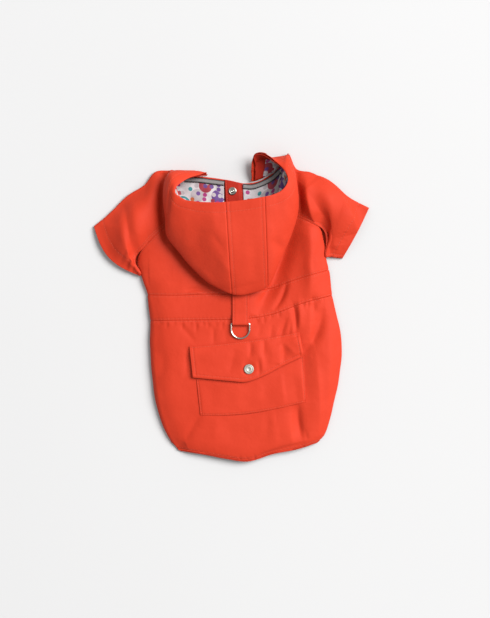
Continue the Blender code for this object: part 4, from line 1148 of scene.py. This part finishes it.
OUT = CLOTH / 2  # from the middle of a solid's wall to its outer face
BACK_FIELD = from_photo(BACK_CREASES, BACK_LEVEL)
HOOD_FIELD = from_photo(HOOD_CREASES, HOOD_LEVEL)
POCKET_FIELD = from_photo(POCKET_CREASES, POCKET_LEVEL)
FLAP_FIELD = from_photo(FLAP_CREASES, FLAP_LEVEL)


def pucker_rows():
    """The creases of the small puckers: a trough hangs from the seam, with a ridge beside it."""
    troughs, ridges = [], []
    for x, y, reach, deep in WAIST_PUCKERS:
        troughs.append((x, y + reach, x + 0.6, y + reach / 2, x, y + 0.2, 1.5, 1.5, -deep))
        ridges.append((x + 3, y + reach / 2, x + 3.4, y + reach / 3, x + 3, y, 1.8, 1.8, deep / 2))
    return troughs + ridges


PUCKER_FIELD = from_photo(pucker_rows(), BACK_LEVEL)


def fold_stations(count=190):
    """Stations across a row: close together round the side folds, even between them."""
    turn = np.linspace(-1, -1 + FOLD_SHARE, 10)
    between = np.linspace(-1 + FOLD_SHARE, 1 - FOLD_SHARE, count)
    return np.concatenate([turn[:-1], between, -turn[:-1][::-1]])


def seam_dip(skin, *sides):
    """How far a skin turns in at its sewn edges."""
    return -SEAM_DIP * sum(np.exp(-((skin.passed(side) / SEAM_ROLL) ** 2)) for side in sides)


def back_relief(x, y):
    return crease_field(x, y, BACK_FIELD) + waves(x, y, BACK_SWELL)


def belly_relief(x, y):
    """The belly lies on the table, so its tucks only go up into the coat."""
    return -np.maximum(crease_field(x, y, BELLY_CREASES), 0)


def settled(base, facing, folds):
    """The body's rows with their sides pressed flatter, by how far each row is folded."""
    skin = Skin(base, facing)
    near = sum(np.exp(-((skin.passed(side) / SIDE_REACH) ** 2)) for side in ("left", "right"))
    base[..., 2] *= 1 - EDGE_SINK * near * folds[:, None]
    return base


def off_neck(skin):
    """0 at the neck's seam, where the hood is sewn on, and 1 a little way below it."""
    return 1 - np.exp(-((skin.passed("top") / NECK_FADE) ** 2))


def make_back():
    half = SHOWN_SEAM / 2
    stretches = (
        ("yoke", "back_yoke", NECK_DOWN, SEAM_TOP - half, ("left", "right", "low")),
        ("waistband", "back_waistband", SEAM_TOP + half, SEAM_LOW - half, ("top", "low")),
        ("skirt", "back_skirt", SEAM_LOW + half, SEAM_HEM, ("top", "low")),
        ("hem_band", "back_hem_band", SEAM_HEM - 0.9, HEM, ()),
    )
    us = fold_stations()
    for name, node, start, end, sides in stretches:
        downs = spaced(start, end, GRID_STEP, GRID_FINE, 3)
        base = settled(back_point(us[None, :], downs[:, None]), -1, body_row(BACK, downs)[5])
        x, y = base[..., 0], base[..., 1]
        skin = Skin(base, -1)
        relief = back_relief(x, y) * (off_neck(skin) if name == "yoke" else 1) + seam_dip(skin, *sides)
        relief -= HEM_SINK * np.exp(-(((HEM - downs) / HEM_REACH) ** 2))[:, None]
        if name == "skirt":
            relief += crease_field(x, y, PUCKER_FIELD)
        if name == "waistband":
            relief += 0.35 * np.sin(math.pi * (downs - start) / (end - start))[:, None]
        if name == "hem_band":
            relief -= HEM_BAND_DROP + 0.55 * np.exp(-((skin.passed("top") / 1.6) ** 2))
            relief -= 0.9 * np.exp(-((skin.passed("low") / 1.3) ** 2))
        skin = sewn(skin.moved(OUT + relief), name)
        cloth(f"{name}_cloth", skin, nylon(), nodes=[node])


def overlap_x(x_at_neck, down):
    return x_at_neck + OVERLAP_DRIFT * (down - FRONT_NECK_DOWN) / (HEM - FRONT_NECK_DOWN)


def upper_step(base, downs):
    """The right front lies on the left one where they overlap, then comes down to the table."""
    over = overlap_x(OVERLAP_RIGHT, downs)[:, None] + SEAM
    f = np.clip((base[..., 0] - over) / STEP_RUN, 0, 1)
    base[..., 2] += (CLOTH + SEAM) * (1 - f * f * (3 - 2 * f))


def make_fronts():
    downs = spaced(FRONT_NECK_DOWN, SEAM_HEM - FRONT_SHORTER, 2.2, 0.7, 8)
    share = np.linspace(0, 1, 62)
    turn = np.linspace(-1, -1 + FOLD_SHARE, 8)[None, :-1] + np.zeros((len(downs), 1))
    edge = row_u(FRONT, overlap_x(OVERLAP_RIGHT, downs), downs)[:, None]
    start = row_u(FRONT, overlap_x(OVERLAP_LEFT, downs), downs)[:, None]
    left_us = np.concatenate([turn, (-1 + FOLD_SHARE) + (edge + 1 - FOLD_SHARE) * share], axis=1)
    right_us = np.concatenate([start + (1 - FOLD_SHARE - start) * share, -turn[:, ::-1]], axis=1)
    for name, node, us in (("belly_left", "front_left", left_us), ("belly_right", "front_right", right_us)):
        base = settled(front_point(us, downs[:, None]), 1, body_row(FRONT, downs)[5])
        if name == "belly_right":
            upper_step(base, downs)
        skin = Skin(base, 1)
        skin = sewn(skin.moved(OUT + belly_relief(base[..., 0], base[..., 1])), name)
        cloth(f"{name}_cloth", skin, nylon(), nodes=[node])


def make_placket():
    xs = np.linspace(OVERLAP_LEFT, PLACKET_RIGHT, 30)
    downs = np.linspace(FRONT_NECK_DOWN + 0.5, FRONT_NECK_DOWN + PLACKET_LENGTH, 50)
    x = xs[None, :] + overlap_x(0, downs)[:, None]
    base = front_point(row_u(FRONT, x, downs[:, None]), downs[:, None])
    upper_step(base, downs)
    skin = sewn(Skin(base, -1).moved(CLOTH / 2 + SEAM + LINING), "placket")
    cloth("placket_cloth", skin, shaded_facing_nylon(), SHOWN_CLOTH, ["placket_facing"])


def flat_sheet(stations, columns, rows, height):
    """A grid between the stations' upper and lower ends, at a height that depends on the place."""
    ends = smooth(*table(stations, even(len(stations))), columns)
    r = rows[:, None]
    x = ends[:, 0] + (ends[:, 2] - ends[:, 0]) * r
    y = ends[:, 1] + (ends[:, 3] - ends[:, 1]) * r
    return height(x, y, np.broadcast_to(r, x.shape))


def make_throat():
    z = CLOTH + SEAM + LINING

    def on_front(x, y, _):
        rise = 0.25 * waves(x, y, ((17, 40, 0.2, 1), (11, -25, 1.4, 0.6)))
        return np.stack([x, y, z + rise], axis=-1)

    for side, stations in (("left", THROAT_LINING_LEFT), ("right", THROAT_LINING_RIGHT)):
        skin = Skin(flat_sheet(stations, even(50), even(34), on_front), -1)
        node = f"throat_lining_{side}"
        cloth(f"{node}_print", skin, printed_lining(), SHOWN_THROAT, [node])
    z = CLOTH + LINING + 2 * SEAM + LINING
    for side, stations in (("left", NECK_TAPE_LEFT), ("right", NECK_TAPE_RIGHT)):
        centre = smooth(*table(stations, even(len(stations))), even(60))
        along = unit(np.gradient(centre, axis=0))
        aside = np.stack([-along[:, 1], along[:, 0]], axis=1)
        bow = 0.25 * (1 - np.linspace(-1, 1, 11) ** 2)
        edges = [centre + aside * w * TAPE_WIDTH / 2 for w in np.linspace(-1, 1, 11)]
        points = [np.concatenate([e, np.full((len(e), 1), z + b)], axis=1) for e, b in zip(edges, bow)]
        node = f"neck_tape_{side}"
        skin = Skin(np.array(points), 1)
        cloth(f"{node}_weave", skin, woven_tape(), SHOWN_THROAT, [node])


def make_sleeves():
    parts = []
    for zone, steps in enumerate(SLEEVE_STEPS):
        parts.append(np.linspace(SLEEVE_ZONES[zone], SLEEVE_ZONES[zone + 1], steps + 1)[:-1])
    arounds = np.concatenate(parts + [[1.0]])
    for side, facing in (("left", 1), ("right", -1)):
        reaches = SLEEVES[side][0]
        stations = spaced(reaches[0], reaches[-1], GRID_STEP, GRID_FINE, 2)
        base = sleeve_point(side, arounds[None, :], stations[:, None])
        low = np.exp(-(((arounds - SLEEVE_FOLD[0]) / SLEEVE_FOLD[1]) ** 2))[None, :]
        low = low * (1 - np.exp(-(((stations - reaches[0]) / NECK_STANDS) ** 2)))[:, None]
        end = np.exp(-(((reaches[-1] - stations) / CUFF_REACH) ** 2))[:, None] * CUFF_SINK / EDGE_SINK
        base[..., 2] *= 1 - EDGE_SINK * np.maximum(low, end)
        skin = Skin(base, facing)
        top = np.clip(skin.normals[..., 2] * 2, 0, 1)
        under = np.clip(-skin.normals[..., 2] * 2, 0, 1)
        x, y = base[..., 0], base[..., 1]
        creases = back_relief(x, y) * top + belly_relief(x, y) * under
        relief = creases * off_neck(skin) + seam_dip(skin, "left", "right")
        skin = sewn(skin.moved(OUT + relief), f"sleeve_{side}")
        cloth(f"sleeve_{side}_cloth", skin, nylon(), nodes=[f"sleeve_{side}"])


def hood_alongs():
    """Stations along a rib: close together at its turn."""
    under = UNDERSIDE_SHARE * (1 - (1 - even(24)) ** 1.5)
    over = UNDERSIDE_SHARE + (1 - UNDERSIDE_SHARE) * even(76) ** 1.35
    return np.concatenate([under[:-1], over])


def hood_relief(points):
    x, y = points[..., 0], points[..., 1]
    return crease_field(x, y, HOOD_FIELD) + waves(x, y, HOOD_SWELL)


def make_hood():
    alongs = hood_alongs()
    settled = np.clip((alongs - 0.3) / 0.2, 0, 1)[:, None]
    for node, (first, last, count) in HOOD_PANELS.items():
        step = (last - first) / count
        ribs = spaced(first, last, step, step / 3, step * 2)
        ribs[0] += PANEL_GAP * (node != "hood_left")
        ribs[-1] -= PANEL_GAP * (node != "hood_right")
        base = hood_points(ribs, alongs)
        skin = Skin(base, 1)
        dips = seam_dip(skin, *{"hood_left": ["right"], "hood_centre": ["left", "right"]}.get(node, ["left"]))
        dips = dips - 0.35 * np.exp(-((skin.passed("low") / 1.2) ** 2))
        skin = sewn(skin.moved(OUT + hood_relief(base) * settled + dips), node)
        cloth(f"{node}_cloth", skin, nylon(), nodes=[node])
    make_hood_inside()


def make_hood_inside():
    inset = (CLOTH + LINING) / 2 + LINING_GAP
    ribs = np.linspace(0, FACING_LAST_RIB, 330)
    places = np.linspace(0, 1, 200)
    points = hood_points(ribs, places)
    steps = np.linalg.norm(np.diff(points, axis=0), axis=2)
    passed = np.concatenate([np.zeros((1, len(ribs))), np.cumsum(steps, axis=0)])
    facing, lining, lined = [], [], []
    widths = np.interp(ribs, *np.array(FACING_SHOWN).T)
    for j, rib in enumerate(ribs):
        length = passed[-1, j]
        width = min(widths[j], FACING_MOST * length)
        distances = [length - width * f for f in np.linspace(1, 0.02, 16)]
        facing.append(np.interp(distances, passed[:, j], places))
        if LINING_FIRST_RIB < rib < LINING_SHOWN_RIB:
            ends = [min(LINING_FOOT, length / 3), length - width - FACING_GAP]
            foot, top = np.interp(ends, passed[:, j], places)
            lining.append(np.linspace(foot, max(top, foot + 0.1), 90))
            lined.append(rib)

    def front(covered):
        across, along = (np.linspace(first, last, 60) for first, last in covered)
        return Skin(hood_points(across, along), -1).moved(inset)

    stations = np.array(lining).T
    lined_skin = Skin(hood_points(np.array(lined), stations), -1).moved(inset)
    kept = np.abs(stations - UNDERSIDE_SHARE).min(axis=1) > 2 * LINING_SHORT_CUT
    skins = {
        "hood_facing_cloth": Skin(hood_points(ribs, np.array(facing).T), -1).moved(inset),
        "hood_lining_print": Skin(lined_skin.points[kept], -1),
        "hood_lining_front_print": front(LINING_FRONT),
        "hood_facing_front_cloth": front(FACING_FRONT),
    }
    for name, skin in skins.items():
        kind = "facing" if "facing" in name else "lining"
        finish = shaded_facing_nylon() if kind == "facing" else printed_lining()
        cloth(name, skin, finish, SHOWN_CLOTH, [f"hood_{kind}"])


def on_back(x, y, lift):
    point, normal = back_at(x, y)
    base = np.stack([x, y, point[..., 2]], axis=-1)
    return base + normal * (OUT + back_relief(x, y) * 0.5 + lift)[..., None]


def flap_lift(r):
    return smooth(*table(FLAP_LIFT), r)[..., 0]


def make_pocket():
    def pocket_height(x, y, r):
        near_edge = np.exp(-((1 - r) * POCKET_DEPTH / 1.2) ** 2) * 0.5
        return on_back(x, y, SEAM + TRIM + crease_field(x, y, POCKET_FIELD) - near_edge)

    def flap_height(x, y, r):
        away = np.hypot(x - SNAP_PLACE[0], y - SNAP_PLACE[1]) / SNAP_DIMPLE_RADIUS
        dimple = SNAP_DIMPLE * np.exp(-(away**4))
        rolled = 0.7 * np.exp(-(((1 - r) * FLAP_DEPTH / 1.4) ** 2))
        lift = flap_lift(r) - OUT + TRIM / 2 + crease_field(x, y, FLAP_FIELD)
        return on_back(x, y, lift + 0.9 - dimple - rolled)

    for name, node, stations, columns, rows, height in (
        ("pocket", "pocket", POCKET, 130, spaced(0, 1, 0.02, 0.007, 0.06), pocket_height),
        ("pocket_flap", "pocket_flap", POCKET_FLAP, 150, spaced(0, 1, 0.03, 0.014, 0.2), flap_height),
    ):
        edges = spaced(0, 1, 1.1 / columns, 0.45 / columns, 6 / columns)
        skin = sewn(Skin(flat_sheet(stations, edges, rows, height), -1), name)
        cloth(f"{name}_cloth", skin, nylon(), SHOWN_TRIM, [node])


def make_strap():
    loop = RING_WIRE / 2 + SEAM + TRIM / 2
    xs = spaced(-STRAP_WIDTH / 2, STRAP_WIDTH / 2, 0.9, 0.45, 3) + STRAP_MIDDLE_X
    lying = CLOTH / 2 + SEAM + TRIM / 2
    bar_z = ring_height()

    def back_z(y):
        return back_at(np.full(y.shape, STRAP_MIDDLE_X), y)[0][:, 2]

    ys = np.linspace(STRAP_TOP_Y, RING_Y, 40)
    path = [np.stack([ys, back_z(ys) + lying], axis=-1)]
    angle = math.pi * np.linspace(0, 1, 14)[1:-1]
    path.append(np.stack([RING_Y - loop * np.sin(angle), bar_z - loop * np.cos(angle)], axis=-1))
    ys = np.linspace(RING_Y, STRAP_TOP_Y - 0.3, 48)
    f = np.minimum((ys - RING_Y) / STRAP_EASING, 1)
    eased = (TRIM + SEAM) + (2 * loop - TRIM - SEAM) * (1 - f * f * (3 - 2 * f))
    path.append(np.stack([ys, back_z(ys) + lying + eased], axis=-1))
    path = np.concatenate(path)
    points = np.array([[(x, y, z) for x in xs] for y, z in path])
    skin = Skin(points, 1)
    roll = sum(0.3 * np.exp(-((skin.passed(side) / 0.7) ** 2)) for side in ("left", "right"))
    seam = 0.5 * np.exp(-((skin.passed("low") / 1.2) ** 2))
    skin = sewn(skin.moved(TRIM / 2 - roll - seam), "leash_strap")
    cloth("leash_strap_cloth", skin, nylon(), SHOWN_TRIM, ["leash_strap"])


def ring_height():
    point, _ = back_at(np.array([STRAP_MIDDLE_X]), np.array([RING_Y]))
    return float(point[0, 2]) + CLOTH / 2 + SEAM + TRIM + SEAM + RING_WIRE / 2


def turned(name, profile, finish, base, normal, node):
    """A turned metal piece from its (radius, height) pairs, standing on a place along a normal."""
    sides = 48
    ring = np.arange(sides) * 2 * math.pi / sides
    aside = unit(np.cross(normal, (0.0, 1.0, 0.0)))
    ahead = np.cross(aside, normal)
    points = []
    for radius, height in profile:
        spin = np.cos(ring)[:, None] * aside + np.sin(ring)[:, None] * ahead
        points.append(base + normal * height + spin * max(radius, 0.01))
    rows = len(profile)
    faces = [
        (r * sides + k, (r + 1) * sides + k, (r + 1) * sides + (k + 1) % sides, r * sides + (k + 1) % sides)
        for r in range(rows - 1)
        for k in range(sides)
    ]
    faces += [tuple(range(sides)), tuple(range((rows - 1) * sides, rows * sides))[::-1]]
    mesh = bpy.data.meshes.new(name)
    mesh.from_pydata((np.concatenate(points) * MM).tolist(), [], faces)
    mesh.shade_smooth()
    made = add_object(name, mesh, finish)
    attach(made, "coat")
    if node:
        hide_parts(node)
    return made


def make_snap_cap():
    """The cap of the flap's snap: a dull rim round a dimpled middle."""
    box = np.array(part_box("snap_cap")) / MM
    middle = box.mean(axis=0)
    _, normal = back_at(np.array([SNAP_PLACE[0]]), np.array([SNAP_PLACE[1]]))
    normal = normal[0]
    base = middle - normal * SNAP_HEIGHT / 2
    r, h = SNAP_RADIUS, SNAP_HEIGHT
    rim = [(r * 0.7, 0), (r * 0.97, 0), (r, h * 0.25), (r * 0.98, h * 0.6), (r * 0.9, h * 0.9)]
    rim += [(r * 0.8, h), (r * 0.72, h * 0.92), (r * 0.68, h * 0.7), (r * 0.66, h * 0.3)]
    turned("snap_cap_rim", rim, dull_nickel(), base, normal, "snap_cap")
    dish = [(r * 0.7, h * 0.3), (r * 0.69, h * 0.72), (r * 0.6, h * 0.84), (r * 0.45, h * 0.86)]
    dish += [(r * 0.3, h * 0.74), (r * 0.22, h * 0.55), (r * 0.12, h * 0.5), (0, h * 0.52)]
    turned("snap_cap_middle", dish, dull_nickel(), base, normal, None)


def refinish(node, finish):
    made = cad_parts[node]
    made.data.materials.clear()
    made.data.materials.append(finish)


# ---- light, floor and camera ----


def area_light(name, place, target, size, power):
    data = bpy.data.lights.new(name, "AREA")
    data.shape = "DISK"
    data.size = size
    data.energy = power
    made = link_object(name, data)
    made.location = place
    made.rotation_euler = (Vector(target) - Vector(place)).to_track_quat("-Z", "Y").to_euler()


def make_stage():
    mesh = bpy.data.meshes.new("floor")
    half = 3.0
    corners = [(-half, -half, 0), (half, -half, 0), (half, half, 0), (-half, half, 0)]
    mesh.from_pydata(corners, [], [(0, 1, 2, 3)])
    floor = add_object("floor", mesh, floor_paper())
    floor.location.z = -FLOOR_DOWN * MM
    world = bpy.data.worlds.new("studio")
    world.use_nodes = True
    sky = world.node_tree.nodes["Background"].inputs
    sky["Color"].default_value = (1, 1, 1, 1)
    sky["Strength"].default_value = AMBIENT
    bpy.context.scene.world = world
    for light in LIGHTS:
        area_light(*light)
    data = bpy.data.cameras.new("camera")
    data.lens = CAMERA_LENS
    camera = link_object("camera", data)
    camera.location = (PHOTO_MIDDLE[0] * MM, PHOTO_MIDDLE[1] * MM, CAMERA_HEIGHT * MM)
    bpy.context.scene.camera = camera
    bpy.context.scene.view_settings.view_transform = "Standard"


def main():
    make_back()
    make_fronts()
    make_placket()
    make_throat()
    make_sleeves()
    make_hood()
    make_pocket()
    make_strap()
    make_snap_cap()
    make_threads()
    refinish("d_ring", nickel())
    refinish("snap_stud", nickel())
    make_stage()


main()
